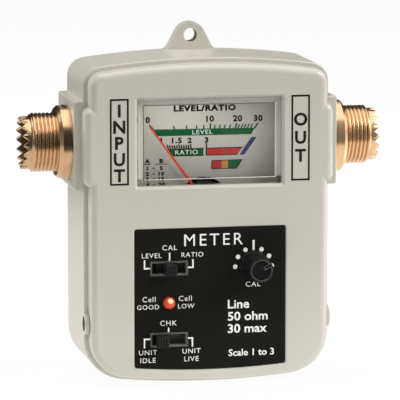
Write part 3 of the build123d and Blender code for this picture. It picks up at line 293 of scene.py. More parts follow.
# In these looks, the darker corner colours are painted shade with some dirt
skinLooks = {
    # The case's pale edge lines are a painted highlight with some rubbed wear
    "casePlastic": {"color": (0.55, 0.525, 0.465), "gloss": (0.27, 0.35), "grain": 3200.0, "spread": 0.025,
                    "specular": 0.65, "bump": 0.10, "wearAndHighlight": 0.8, "wearAndHighlightColor": (0.72, 0.70, 0.64),
                    "wearAndHighlightWidth": 0.0006, "shadeAndDirt": 0.35, "shadeAndDirtColor": (0.33, 0.31, 0.27)},
    # A darker finish that paints shade onto the holes' walls
    "holeShade": {"color": (0.20, 0.19, 0.165), "gloss": (0.4, 0.5), "spread": 0.1, "bump": 0.1},
    "panelBlack": {"color": (0.0095, 0.0092, 0.0078), "gloss": (0.48, 0.58), "grain": 4200.0, "spread": 0.12,
                   "bump": 0.06, "speck": 0.2, "speckColor": (0.022, 0.022, 0.02), "specular": 0.06},
    # The slot rims' pale edge lines are a painted highlight
    "slotRim": {"color": (0.06, 0.059, 0.055), "gloss": (0.35, 0.5), "spread": 0.1, "bump": 0.08,
                "wearAndHighlight": 1.0, "wearAndHighlightColor": (0.30, 0.295, 0.28), "wearAndHighlightWidth": 0.0002},
    "slotWall": {"color": (0.26, 0.255, 0.24), "gloss": (0.35, 0.5), "spread": 0.08, "bump": 0.06},
    "slotBase": {"color": (0.22, 0.217, 0.20), "gloss": (0.5, 0.6), "spread": 0.1, "bump": 0.06},
    "slotFloor": {"color": (0.034, 0.034, 0.031), "gloss": (0.5, 0.6), "spread": 0.1, "bump": 0.06,
                  "specular": 0.2},
    # The knob's pale edge ring is a painted highlight
    "knobBlack": {"color": (0.008, 0.008, 0.0075), "gloss": (0.58, 0.68), "spread": 0.15, "bump": 0.06,
                  "wearAndHighlight": 1.0, "wearAndHighlightColor": (0.23, 0.23, 0.22), "wearAndHighlightWidth": 0.0004, "specular": 0.1},
    "sliderBlack": {"color": (0.011, 0.011, 0.010), "gloss": (0.42, 0.55), "spread": 0.15, "bump": 0.1,
                    "wearAndHighlight": 0.7, "wearAndHighlightColor": (0.05, 0.05, 0.045), "wearAndHighlightWidth": 0.0002, "specular": 0.25},
    # The scale plate's colour darkens towards the bottom
    "scalePaint": {"color": (0.59, 0.565, 0.51), "gloss": (0.5, 0.62), "spread": 0.03, "bump": 0.04,
                   "specular": 0.1, "fade": (0.010, 0.024), "bottomColor": (0.425, 0.407, 0.367)},
    "paleMaskAndHighlight": {"color": (0.80, 0.78, 0.72), "gloss": (0.5, 0.6), "spread": 0.03, "bump": 0.04},
    "paintedShadowGrey": {"color": (0.085, 0.083, 0.076), "gloss": (0.45, 0.55), "spread": 0.1, "bump": 0.04},
    "needlePaint": {"color": (0.72, 0.05, 0.02), "gloss": (0.35, 0.45), "spread": 0.08, "bump": 0.03},
    "housingGrey": {"color": (0.42, 0.40, 0.36), "gloss": (0.5, 0.6), "spread": 0.05, "bump": 0.1},
    "bridgeBlack": {"color": (0.014, 0.014, 0.013), "gloss": (0.35, 0.5), "spread": 0.1, "bump": 0.06},
    "inkBlack": {"color": (0.012, 0.012, 0.010), "gloss": (0.45, 0.55), "spread": 0.1, "bump": 0.05,
                 "specular": 0.1},
    "socketInsulator": {"color": (0.72, 0.70, 0.64), "gloss": (0.35, 0.5), "spread": 0.04, "bump": 0.06},
    "boardGreen": {"color": (0.012, 0.09, 0.035), "gloss": (0.3, 0.45), "spread": 0.15, "bump": 0.15,
                   "grain": 900.0},
    "wireSleeve": {"color": (0.32, 0.03, 0.02), "gloss": (0.4, 0.55), "spread": 0.1, "bump": 0.05},
    "batteryWrap": {"color": (0.03, 0.03, 0.034), "gloss": (0.25, 0.4), "spread": 0.1, "bump": 0.04,
                    "wearAndHighlight": 0.6, "wearAndHighlightColor": (0.3, 0.29, 0.27)},
    "resistorBody": {"color": (0.50, 0.36, 0.20), "gloss": (0.3, 0.45), "spread": 0.1, "bump": 0.06},
    "chipBody": {"color": (0.016, 0.016, 0.017), "gloss": (0.5, 0.65), "spread": 0.1, "bump": 0.12},
}
# Pale and coloured inks: (color, spread)
inks = {
    "inkWhite": ((0.86, 0.85, 0.80), 0.04), "inkGreen": ((0.010, 0.105, 0.040), 0.1),
    "inkRed": ((0.50, 0.045, 0.042), 0.08), "inkBlue": ((0.045, 0.055, 0.18), 0.08),
    "inkAmber": ((0.55, 0.26, 0.06), 0.08),
}
for name, (color, spread) in inks.items():
    skinLooks[name] = {"color": color, "gloss": (0.5, 0.6), "spread": spread, "bump": 0.05, "specular": 0.1}
# In these looks, the darker corner colours are painted shade with some dirt
metalLooks = {
    # The plating's pale edges are partly rubbed wear, partly a painted highlight
    "goldPlate": {"color": (0.83, 0.545, 0.315), "gloss": (0.18, 0.32), "spread": 0.10, "bump": 0.12,
                  "shadeAndDirt": 0.6, "shadeAndDirtColor": (0.16, 0.085, 0.035),
                  "wearAndHighlight": 0.25, "wearAndHighlightColor": (0.95, 0.80, 0.62)},
    "goldShade": {"color": (0.30, 0.215, 0.135), "gloss": (0.35, 0.5), "spread": 0.12, "bump": 0.12},
    "platedSteel": {"color": (0.52, 0.51, 0.49), "gloss": (0.25, 0.4), "spread": 0.08, "shadeAndDirt": 0.5,
                    "shadeAndDirtColor": (0.10, 0.09, 0.08)},
    "darkSteel": {"color": (0.17, 0.165, 0.155), "gloss": (0.35, 0.5), "spread": 0.1},
    "tinPlate": {"color": (0.62, 0.62, 0.60), "gloss": (0.3, 0.5), "spread": 0.08},
    "copperWire": {"color": (0.68, 0.32, 0.17), "gloss": (0.25, 0.4), "spread": 0.1},
    "softIron": {"color": (0.20, 0.195, 0.19), "gloss": (0.4, 0.55), "spread": 0.12},
}
finish = {name: skinMaterial(name, look) for name, look in skinLooks.items()}
finish.update({name: metalMaterial(name, look) for name, look in metalLooks.items()})


# Clear window: polished plastic that lets the light through to the dial
def clearMaterial(look):
    material, tree, shader = startMaterial(
        "windowClear", Base_Color=(0.97, 0.98, 0.97, 1.0), IOR=1.46, Transmission_Weight=1.0)
    low, high = look["gloss"]
    haze = noiseNode(tree, objectCoords(tree), look["hazeScale"], detail=4.0, roughness=0.6)
    gloss = mathNode(tree, "ADD", mathNode(tree, "MULTIPLY", haze, high - low), low)
    tree.links.new(gloss, shader.inputs["Roughness"])
    clear = addNode(tree, "ShaderNodeBsdfTransparent")
    path = addNode(tree, "ShaderNodeLightPath")
    through = mathNode(tree, "MAXIMUM", path.outputs["Is Shadow Ray"], path.outputs["Is Diffuse Ray"])
    blend = addNode(tree, "ShaderNodeMixShader")
    tree.links.new(through, blend.inputs[0])
    tree.links.new(shader.outputs[0], blend.inputs[1])
    tree.links.new(clear.outputs[0], blend.inputs[2])
    tree.links.new(blend.outputs[0], tree.nodes["Material Output"].inputs["Surface"])
    return material


# Lamp: tinted dome with a dim glow and a painted highlight, a bright glowing spot near its upper right
def lampMaterial(look):
    material, tree, shader = startMaterial(
        "lampRed", Roughness=0.25, Coat_Weight=0.25, Coat_Roughness=0.04, Emission_Strength=1.6)
    coords = objectCoords(tree)
    cloud = noiseNode(tree, coords, scale=700.0, detail=3.0, roughness=0.6)
    tint = mixColor(tree, cloud, *look["tint"])
    tree.links.new(tint, shader.inputs["Base Color"])
    reach = addNode(tree, "ShaderNodeVectorMath", operation="DISTANCE")
    tree.links.new(coords, reach.inputs[0])
    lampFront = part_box("indicator_lamp")[0].y / mm
    middle = middleOf("indicator_lamp")
    # A painted highlight: a glowing spot shifted right and up from the lamp's middle
    acrossShift, upShift = look["highlightShift"]
    highlightSpot = Vector((middle.x + acrossShift, lampFront, middle.z + upShift))
    reach.inputs[1].default_value = highlightSpot * mm
    away = mathNode(tree, "DIVIDE", reach.outputs["Value"], look["highlightSize"] * mm)
    highlightMask = mathNode(tree, "SUBTRACT", 1.0, away, True)
    glow = mixColor(tree, mathNode(tree, "POWER", highlightMask, look["highlightEdge"]), *look["glow"])
    tree.links.new(glow, shader.inputs["Emission Color"])
    bumpFrom(tree, shader, cloud, strength=0.05, distance=0.00003)
    return material


finish["windowClear"] = clearMaterial({"gloss": (0.005, 0.055), "hazeScale": 220.0})
finish["lampRed"] = lampMaterial({
    "tint": ((0.56, 0.040, 0.014), (0.70, 0.075, 0.028)), "glow": ((0.066, 0.006, 0.001), (1.0, 0.80, 0.52)),
    "highlightShift": (0.13, 0.95), "highlightSize": 0.95, "highlightEdge": 0.55,  # shift and size in millimetres
})
print("finishes:", len(finish))

# Finishes of the nodes that stay as they come
nodeFinish = {
    "rear_case": "casePlastic", "front_cover": "casePlastic", "battery_door": "casePlastic",
    "label_panel": "panelBlack", "side_screws": "darkSteel", "battery": "batteryWrap",
    "battery_studs": "tinPlate", "battery_snap": "chipBody", "battery_leads": "wireSleeve",
    "main_board": "boardGreen", "board_screws": "platedSteel", "board_chip": "chipBody",
    "board_capacitors": "chipBody", "board_resistors": "resistorBody", "set_pot_body": "chipBody",
    "set_pot_pins": "tinPlate", "set_shaft": "platedSteel", "set_knob": "knobBlack",
    "indicator_lamp": "lampRed", "lamp_leads": "tinPlate", "meter_window": "windowClear",
    "meter_housing": "housingGrey", "meter_screws": "platedSteel", "meter_scale_plate": "scalePaint",
    "meter_yoke": "softIron", "meter_core": "softIron", "meter_coil": "copperWire",
    "meter_shafts": "platedSteel", "meter_bushes": "goldPlate", "meter_hub": "bridgeBlack",
    "meter_needle": "needlePaint", "meter_hairspring": "copperWire", "meter_bridge": "bridgeBlack",
    "meter_terminals": "goldPlate", "meter_leads": "wireSleeve", "through_line": "copperWire",
    "line_shield": "tinPlate", "pickup_board": "boardGreen", "pickup_leads": "wireSleeve",
}
for switch in ("mode", "power"):
    nodeFinish.update({
        switch + "_slider": "sliderBlack", switch + "_switch_can": "slotWall",
        switch + "_switch_base": "slotBase", switch + "_switch_pins": "tinPlate"})
for side in ("left", "right"):
    nodeFinish.update({
        side + "_port_shell": "goldPlate", side + "_port_insulator": "socketInsulator",
        side + "_port_contact": "goldPlate", side + "_port_washer": "goldPlate",
        side + "_port_nut": "goldPlate"})
smoothAngle = math.radians(28)
for name, finishName in nodeFinish.items():
    mesh = nodes[name].data
    mesh.materials.clear()
    mesh.materials.append(finish[finishName])
    mesh.shade_smooth()
    mesh.set_sharp_from_angle(angle=smoothAngle)

# The raised rims round the two slots are part of the cover and wear a dark finish with painted highlights on
# their edges; the slots' inner walls wear the paler wall finish
slotRim = {"halfWidth": 5.4, "halfHeight": 2.2, "behind": 29.0, "slotHalfWidth": 4.75, "wallTilt": 0.5,
           "floorBelow": 29.4}
slotMiddles = [middleOf(switch + "_switch_can") for switch in ("mode", "power")]
cover = nodes["front_cover"].data
cover.materials.append(finish["slotRim"])
cover.materials.append(finish["slotWall"])
for face in cover.polygons:
    spot = face.center / mm
    for middle in slotMiddles:
        across, up = abs(spot.x - middle.x), abs(spot.z - middle.z)
        inRim = across < slotRim["halfWidth"] and up < slotRim["halfHeight"]
        if inRim and -spot.y > slotRim["behind"]:
            isWall = across < slotRim["slotHalfWidth"] and abs(face.normal.y) < slotRim["wallTilt"]
            face.material_index = 2 if isWall else 1
for switch in ("mode", "power"):
    slider = nodes[switch + "_slider"].data
    slider.materials.append(finish["slotFloor"])
    for face in slider.polygons:
        face.material_index = 1 if -face.center.y / mm < slotRim["floorBelow"] else 0
# Painted shade: the walls of the hanging hole and of the side screws' holes get a darker finish
shadedHoles = {"hangX": 0.0, "hangZ": 47.9, "hangRadius": 1.95, "screwRadius": 2.15, "screwBeyond": 30.0}
screwAxis = middleOf("side_screws")
for name in ("rear_case", "front_cover"):
    shell = nodes[name].data
    shell.materials.append(finish["holeShade"])
    holeShadeIndex = len(shell.materials) - 1
    for face in shell.polygons:
        spot = face.center / mm
        fromHang = math.hypot(spot.x - shadedHoles["hangX"], spot.z - shadedHoles["hangZ"])
        fromScrew = math.hypot(spot.y - screwAxis.y, spot.z - screwAxis.z)
        inScrew = fromScrew < shadedHoles["screwRadius"] and abs(spot.x) > shadedHoles["screwBeyond"]
        if fromHang < shadedHoles["hangRadius"] or inScrew:
            face.material_index = holeShadeIndex
print("node finishes set:", len(nodeFinish))


# Mesh helpers

def addPiece(name, mesh, body="case"):
    piece = bpy.data.objects.new(name, mesh)
    bpy.context.scene.collection.objects.link(piece)
    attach(piece, body)
    return piece


def textMesh(words, weight=0.0, spacing=1.0):
    curve = bpy.data.curves.new("letters", "FONT")
    curve.body = words
    curve.size = 1.0
    curve.offset = weight
    curve.space_character = spacing
    curve.resolution_u = 3
    holder = bpy.data.objects.new("letters", curve)
    bpy.context.scene.collection.objects.link(holder)
    bpy.context.view_layer.update()
    flat = holder.evaluated_get(bpy.context.evaluated_depsgraph_get())
    mesh = bpy.data.meshes.new_from_object(flat)
    bpy.data.objects.remove(holder)
    bpy.data.curves.remove(curve)
    return mesh


capMesh = textMesh("H")
capHeight = max(v.co.y for v in capMesh.vertices) - min(v.co.y for v in capMesh.vertices)
bpy.data.meshes.remove(capMesh)


# A print is a thin raised film: flat shapes in (x, z) millimetres on a plane at some depth
class InkFilm:
    def __init__(self, depth, thickness):
        self.shapes = bmesh.new()
        self.depth = depth
        self.thickness = thickness

    def polygon(self, points):
        area = sum(a[0] * b[1] - b[0] * a[1] for a, b in zip(points, points[1:] + points[:1]))
        ring = points if area > 0 else points[::-1]
        self.shapes.faces.new([self.shapes.verts.new((x, z, 0)) for x, z in ring])

    def bar(self, start, end, width):
        along = Vector((end[0] - start[0], end[1] - start[1])).normalized()
        across = Vector((-along.y, along.x)) * width / 2
        corners = [Vector(start) - across, Vector(end) - across, Vector(end) + across, Vector(start) + across]
        self.polygon([tuple(c) for c in corners])

    def path(self, points, width):
        # Each bar covers the corner at its end, and the next one starts behind it
        closed = points[0] == points[-1]
        for i, (start, end) in enumerate(zip(points, points[1:])):
            along = Vector((end[0] - start[0], end[1] - start[1])).normalized() * width / 2
            begin = Vector(start) + along if i or closed else Vector(start) - along
            self.bar(tuple(begin), tuple(Vector(end) + along), width)

    def dot(self, x, z, radius, sides=24):
        turns = [2 * math.pi * i / sides for i in range(sides)]
        self.polygon([(x + radius * math.cos(turn), z + radius * math.sin(turn)) for turn in turns])

    def words(self, text, x, z, height, align=0.5, stretch=1.0, weight=0.014, spacing=1.0):
        mesh = textMesh(text, weight, spacing)
        low = min(v.co.x for v in mesh.vertices)
        high = max(v.co.x for v in mesh.vertices)
        scale = height / capHeight
        shift = Matrix.Translation((-(low + (high - low) * align), -capHeight / 2, 0))
        grow = Matrix.Diagonal((scale * stretch, scale, 1, 1))
        mesh.transform(Matrix.Translation((x, z, 0)) @ grow @ shift)
        self.shapes.from_mesh(mesh)
        bpy.data.meshes.remove(mesh)

    def finish(self, name, material):
        bmesh.ops.recalc_face_normals(self.shapes, faces=self.shapes.faces)
        for face in self.shapes.faces:
            if face.normal.z < 0:
                face.normal_flip()
        flat = list(self.shapes.faces)
        made = bmesh.ops.extrude_face_region(self.shapes, geom=flat)
        lifted = [v for v in made["geom"] if isinstance(v, bmesh.types.BMVert)]
        bmesh.ops.translate(self.shapes, verts=lifted, vec=(0, 0, self.thickness))
        for face in flat:
            if face.is_valid:
                face.normal_flip()
        bmesh.ops.recalc_face_normals(self.shapes, faces=self.shapes.faces)
        mesh = bpy.data.meshes.new(name)
        self.shapes.to_mesh(mesh)
        self.shapes.free()
        turn = Matrix(((mm, 0, 0, 0), (0, 0, -mm, -self.depth * mm), (0, mm, 0, 0), (0, 0, 0, 1)))
        mesh.transform(turn)
        mesh.materials.append(material)
        return addPiece(name, mesh)


film = 0.03  # print thickness in millimetres
faceDepth = -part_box("front_cover")[0].y / mm
panelDepth = -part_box("label_panel")[0].y / mm
plateDepth = -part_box("meter_scale_plate")[0].y / mm

# Framed side labels on the face: (letters, height of the first, pitch)
sideLabels = {
    "line": 0.5, "top": 33.8, "bottom": 11.1, "inner": 22.4, "outer": 27.0, "letterHeight": 3.2,
    "letterStyle": {"weight": 0.032},
    "left": ("INPUT", 30.85, 4.34), "right": ("OUT", 27.45, 4.9),
}
labels = InkFilm(faceDepth, film)
for side, sign in (("left", -1), ("right", 1)):
    text, first, pitch = sideLabels[side]
    near, far = sign * sideLabels["inner"], sign * sideLabels["outer"]
    top, bottom, line = sideLabels["top"], sideLabels["bottom"], sideLabels["line"]
    corner = sign * line / 2
    labels.bar((near - corner, top), (far + corner, top), line)
    labels.bar((near - corner, bottom), (far + corner, bottom), line)
    labels.bar((near, top - line / 2), (near, bottom + line / 2), line)
    labels.bar((far, top - line / 2), (far, bottom + line / 2), line)
    for i, letter in enumerate(text):
        labels.words(letter, (near + far) / 2, first - i * pitch, sideLabels["letterHeight"],
                     **sideLabels["letterStyle"])
labels.finish("side_label_print", finish["inkBlack"])

# White legends on the label panel: captions are (text, x, z, height)
panelPrint = {
    "captions": [
        ("CAL", -11.1, -6.35, 1.35), ("LEVEL", -16.0, -8.4, 1.25), ("RATIO", -4.9, -8.4, 1.25),
        ("Cell", -16.75, -20.25, 1.35), ("GOOD", -17.0, -22.35, 1.2),
        ("Cell", -6.85, -20.25, 1.35), ("LOW", -6.6, -22.35, 1.2),
        ("CHK", -11.45, -26.85, 1.35), ("UNIT", -17.05, -34.7, 1.3), ("IDLE", -17.05, -36.85, 1.3),
        ("UNIT", -5.15, -34.65, 1.3), ("LIVE", -5.15, -36.8, 1.3), ("CAL", 11.75, -16.95, 1.35),
    ],
    "leaders": [
        [(-17.95, -9.75), (-17.95, -11.85), (-16.6, -11.85)],
        [(-4.75, -9.85), (-4.75, -11.85), (-6.1, -11.85)], [(-11.12, -7.9), (-11.12, -9.7)],
        [(-16.6, -31.05), (-18.0, -31.05), (-18.0, -33.3)],
        [(-6.2, -31.1), (-4.9, -31.1), (-4.9, -33.3)], [(-11.4, -28.3), (-11.4, -29.1)],
    ],
    "leaderWidth": 0.4, "block": [("Line", -22.25), ("50 ohm", -25.6), ("30 max", -28.95)], "blockX": 4.8,
    "blockHeight": 2.25, "heading": ("METER", 0.9, -4.47, 3.15), "foot": ("Scale 1 to 3", 5.0, -35.55, 1.75),
    "markShift": (-0.12, -0.35), "markRadius": 5.03, "dotRadius": 0.62, "marks": (26, 58, 90),
    "bar": (4.4, 7.1, 0.62),
    "captionStyle": {"stretch": 1.05, "weight": 0.002, "spacing": 1.14},
    "blockStyle": {"align": 0.0, "stretch": 1.1, "weight": 0.02},
    "footStyle": {"align": 0.0, "stretch": 1.05, "weight": 0.018},
    "headingStyle": {"weight": 0.0, "spacing": 1.28},
}
legends = InkFilm(panelDepth, film)
for text, x, z, height in panelPrint["captions"]:
    legends.words(text, x, z, height, **panelPrint["captionStyle"])
for route in panelPrint["leaders"]:
    legends.path(route, panelPrint["leaderWidth"])
for text, z in panelPrint["block"]:
    legends.words(text, panelPrint["blockX"], z, panelPrint["blockHeight"], **panelPrint["blockStyle"])
legends.words(*panelPrint["foot"], **panelPrint["footStyle"])
legends.words(*panelPrint["heading"], **panelPrint["headingStyle"])
acrossShift, upShift = panelPrint["markShift"]
knobX, knobZ = middleOf("set_shaft").x + acrossShift, middleOf("set_shaft").z + upShift
for mark in panelPrint["marks"]:
    for angle in (math.radians(mark), math.radians(-mark)):
        legends.dot(knobX + panelPrint["markRadius"] * math.sin(angle),
                    knobZ + panelPrint["markRadius"] * math.cos(angle), panelPrint["dotRadius"])
low, high, width = panelPrint["bar"]
legends.bar((knobX, knobZ + low), (knobX, knobZ + high), width)
legends.finish("panel_legend_print", finish["inkWhite"])
print("panel and side prints done")

# Dial: numbers, ticks and bands on the scale plate, placed by (x, z); ticks are (top x, foot x)
dialPrint = {
    "title": ("LEVEL/RATIO", -0.3, 30.35, 1.42),
    "titleStyle": {"stretch": 1.24, "weight": 0.055, "spacing": 1.16},
    "numbers": [("0", -15.9, 27.45), ("10", 1.15, 27.4), ("20", 8.7, 27.35), ("30", 14.35, 27.3)],
    "numberHeight": 1.5, "numberStyle": {"stretch": 1.05, "weight": 0.045, "spacing": 1.12},
    "ratios": [("1", -12.2, 21.8), ("1.5", -7.95, 21.75), ("2", -4.45, 21.7), ("3", 0.15, 21.7)],
    "ratioHeight": 1.35, "ratioStyle": {"stretch": 1.15, "weight": 0.045, "spacing": 1.15},
    "levelBand": [(-14.4, 24.85), (13.4, 24.7), (12.45, 22.95), (-13.2, 23.0)],
    "levelTicks": [(-8.9, -8.55), (-5.4, -5.25), (-2.6, -2.5), (-0.6, -0.55), (2.5, 2.4), (3.9, 3.7),
                   (5.3, 5.05), (6.75, 6.45), (9.2, 8.8), (10.15, 9.7), (11.0, 10.5),
                   (11.9, 11.4), (12.8, 12.3)],
    "tickTop": 25.72, "tickFoot": 24.75, "tickWidth": 0.38,
    "longTicks": [((-15.5, 26.1), (-14.3, 24.75)), ((1.3, 26.15), (1.15, 24.7)),
                  ((8.45, 26.05), (8.05, 24.7)), ((14.35, 26.0), (13.3, 24.5))],
    "longWidth": 0.45,
    "combTop": 20.45, "combFoot": 19.5, "combStart": (-10.65, -10.25), "combEnd": (-4.2, -4.1),
    "combCount": 11, "combWidth": 0.38, "combRise": 0.2, "combLongEvery": 5,
    "outline": 0.2, "blackOverBands": 1.4,
    "ratioBand": [(-10.35, 19.35), (-0.7, 19.45), (-0.7, 17.5), (-9.2, 17.55)],
    "highBand": [(0.4, 19.45), (10.1, 19.5), (8.55, 17.5), (0.4, 17.55)],
    "divider": ((0.15, 20.85), (0.15, 17.5), 0.36),
    "setBand": [(12.5, 22.15), (13.95, 22.15), (10.55, 17.45), (9.2, 17.45)],
    "cellRed": [(1.7, 16.0), (4.35, 16.0), (4.35, 13.85), (1.65, 13.85)],
    "cellAmber": [(4.35, 16.0), (6.1, 16.05), (6.1, 13.85), (4.35, 13.85)],
    "cellGreen": [(6.1, 16.05), (9.95, 16.1), (8.4, 13.85), (6.1, 13.85)],
    "cellOutline": [(1.65, 16.05), (9.98, 16.12), (8.4, 13.8), (1.6, 13.85), (1.65, 16.05)],
    "tableX": (-16.05, -14.3, -12.2), "tableRows": [14.4, 12.9, 11.45, 10.0], "tableHeight": 0.95,
    "table": [("1", "5"), ("2", "10"), ("3", "15"), ("4", "20")],
    "tableHead": [("A", -16.0, 16.3), ("B", -12.2, 16.3)], "headHeight": 1.05,
    "headLines": [((-17.2, 15.45), (-15.2, 15.45)), ((-13.9, 15.45), (-10.6, 15.45))],
    "headStyle": {"stretch": 1.2, "weight": 0.05}, "leftStyle": {"stretch": 1.2, "weight": 0.055},
    "rightStyle": {"stretch": 1.15, "weight": 0.055, "spacing": 1.2}, "dashHalf": 0.3, "dashWidth": 0.3,
    "bandWords": [("LEVEL", -0.95, 23.9), ("RATIO", -5.3, 18.5)], "bandWordHeight": 1.15,
    "bandWordStyle": {"stretch": 1.2, "weight": 0.005, "spacing": 1.12},
}
blackInk = InkFilm(plateDepth, film * dialPrint["blackOverBands"])
greenInk, redInk, blueInk, amberInk = (InkFilm(plateDepth, film) for i in range(4))
paleInk = InkFilm(plateDepth + film, film)
blackInk.words(*dialPrint["title"], **dialPrint["titleStyle"])
for text, x, z in dialPrint["numbers"]:
    blackInk.words(text, x, z, dialPrint["numberHeight"], **dialPrint["numberStyle"])
for text, x, z in dialPrint["ratios"]:
    blackInk.words(text, x, z, dialPrint["ratioHeight"], **dialPrint["ratioStyle"])
for text, x, z in dialPrint["tableHead"]:
    blackInk.words(text, x, z, dialPrint["headHeight"], **dialPrint["headStyle"])
for start, end in dialPrint["headLines"]:
    blackInk.bar(start, end, dialPrint["outline"])
leftX, dashX, rightX = dialPrint["tableX"]
dashHalf = dialPrint["dashHalf"]
for (first, second), z in zip(dialPrint["table"], dialPrint["tableRows"]):
    blackInk.words(first, leftX, z, dialPrint["tableHeight"], **dialPrint["leftStyle"])
    blackInk.bar((dashX - dashHalf, z), (dashX + dashHalf, z), dialPrint["dashWidth"])
    blackInk.words(second, rightX, z, dialPrint["tableHeight"], **dialPrint["rightStyle"])
for i in range(dialPrint["combCount"]):
    share = i / (dialPrint["combCount"] - 1)
    topX, footX = (a + share * (b - a) for a, b in zip(dialPrint["combStart"], dialPrint["combEnd"]))
    rise = dialPrint["combRise"] if i % dialPrint["combLongEvery"] == 0 else 0.0
    blackInk.bar((topX, dialPrint["combTop"] + rise), (footX, dialPrint["combFoot"]), dialPrint["combWidth"])
blackInk.bar(*dialPrint["divider"])
for band in ("ratioBand", "highBand"):
    blackInk.path(dialPrint[band][:2], dialPrint["outline"])
    blackInk.path(dialPrint[band][2:], dialPrint["outline"])
blackInk.path(dialPrint["cellOutline"], dialPrint["outline"])
greenInk.polygon(dialPrint["levelBand"])
for topX, footX in dialPrint["levelTicks"]:
    greenInk.bar((topX, dialPrint["tickTop"]), (footX, dialPrint["tickFoot"]), dialPrint["tickWidth"])
for start, end in dialPrint["longTicks"]:
    greenInk.bar(start, end, dialPrint["longWidth"])
greenInk.polygon(dialPrint["ratioBand"])
greenInk.polygon(dialPrint["cellGreen"])
redInk.polygon(dialPrint["highBand"])
redInk.polygon(dialPrint["cellRed"])
amberInk.polygon(dialPrint["cellAmber"])
blueInk.polygon(dialPrint["setBand"])
for text, x, z in dialPrint["bandWords"]:
    paleInk.words(text, x, z, dialPrint["bandWordHeight"], **dialPrint["bandWordStyle"])
dialInks = {
    "dial_black_print": (blackInk, "inkBlack"), "dial_green_print": (greenInk, "inkGreen"),
    "dial_red_print": (redInk, "inkRed"), "dial_blue_print": (blueInk, "inkBlue"),
    "dial_amber_print": (amberInk, "inkAmber"), "dial_pale_print": (paleInk, "inkWhite"),
}
dialPieces = [nodes["meter_scale_plate"], nodes["meter_needle"]]
for name, (ink, color) in dialInks.items():
    dialPieces.append(ink.finish(name, finish[color]))
print("dial prints done")

# Window trim: a border inside the window, a painted shadow line at left and top and a painted highlight line
# at right and bottom, and a pale mask behind its thick rim that lightens the band the rim shades
windowTrim = {
    "borderBehind": 1.05, "half": 18.1, "low": 11.85, "high": 32.06, "highlightLine": 0.2, "shadowLine": 0.22,
    "maskBehind": 0.22, "maskThickness": 0.15, "maskInner": 18.45, "maskOuter": 20.0, "maskLow": 12.0,
    "maskSill": 32.4, "maskTop": 34.1,
}
windowFront, windowBack = (-side.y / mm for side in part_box("meter_window"))


def borderCorner(sign, width, name, color):
    line = InkFilm(windowFront - windowTrim["borderBehind"], film)
    x = sign * (windowTrim["half"] - width / 2)
    reach = windowTrim["half"] - (windowTrim["shadowLine"] if sign > 0 else windowTrim["highlightLine"])
    low, high = windowTrim["low"], windowTrim["high"]
    z = low + width / 2 if sign > 0 else high - width / 2
    line.bar((x, low), (x, high), width)
    line.bar((x - sign * width / 2, z), (-sign * reach, z), width)
    line.finish(name, finish[color])


# Painted shadow line at left and top, painted highlight line at right and bottom
borderCorner(-1, windowTrim["shadowLine"], "window_painted_shadow_border", "paintedShadowGrey")
borderCorner(1, windowTrim["highlightLine"], "window_painted_highlight_border", "paleMaskAndHighlight")
# The pale mask lightens the band behind the thick rim, which the rim would shade: partly painted light
mask = InkFilm(windowBack - windowTrim["maskBehind"], windowTrim["maskThickness"])
inner, outer = windowTrim["maskInner"], windowTrim["maskOuter"]
mask.polygon([(-outer, windowTrim["maskSill"]), (outer, windowTrim["maskSill"]),
              (outer, windowTrim["maskTop"]), (-outer, windowTrim["maskTop"])])
for near, far in ((-outer, -inner), (inner, outer)):
    mask.polygon([(near, windowTrim["maskLow"]), (far, windowTrim["maskLow"]),
                  (far, windowTrim["maskSill"]), (near, windowTrim["maskSill"])])
mask.finish("window_mask", finish["paleMaskAndHighlight"])
print("window trim done")

# Threaded barrels: a true helix, a chamfered start and a toothed rim
portAxis = (middleOf("left_port_shell") + middleOf("right_port_shell")) / 2
portBack, portTip = (end.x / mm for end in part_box("right_port_shell"))
barrel = {
    "axisY": portAxis.y, "axisZ": portAxis.z, "tip": portTip, "bore": 6.2, "nose": 7.1, "noseStep": 0.2,
    "sides": 192, "samples": 12, "pitch": 1.0583, "major": 7.9375, "depth": 0.42, "flankShare": 0.72,
    "threadStart": 39.5, "threadEnd": 46.7, "runIn": 0.5, "chamfer": 0.7,
    "teeth": 16, "toothDepth": 1.5, "notchShare": 0.92, "rimRound": 0.18, "sharpAngle": 50,
    "flangeBack": portBack, "flangeFront": 33.0, "flange": 9.5,
}


def threadRadius(x, angle, look):
    turn = (x - look["threadStart"]) / look["pitch"] - angle / (2 * math.pi)
    wave = abs((turn % 1.0) - 0.5) * 2  # 1 at the crest, 0 at the root
    wave = min(1.0, wave / look["flankShare"])
    wave = wave * wave * (3 - 2 * wave)
    fade = min(1.0, max(0.0, (x - look["threadStart"]) / look["runIn"]))
    radius = look["major"] - look["depth"] * (1 - wave) * fade
    pastChamfer = x - (look["threadEnd"] - look["chamfer"])
    taper = look["major"] - pastChamfer * (look["major"] - look["nose"]) / look["chamfer"]
    return min(radius, taper)


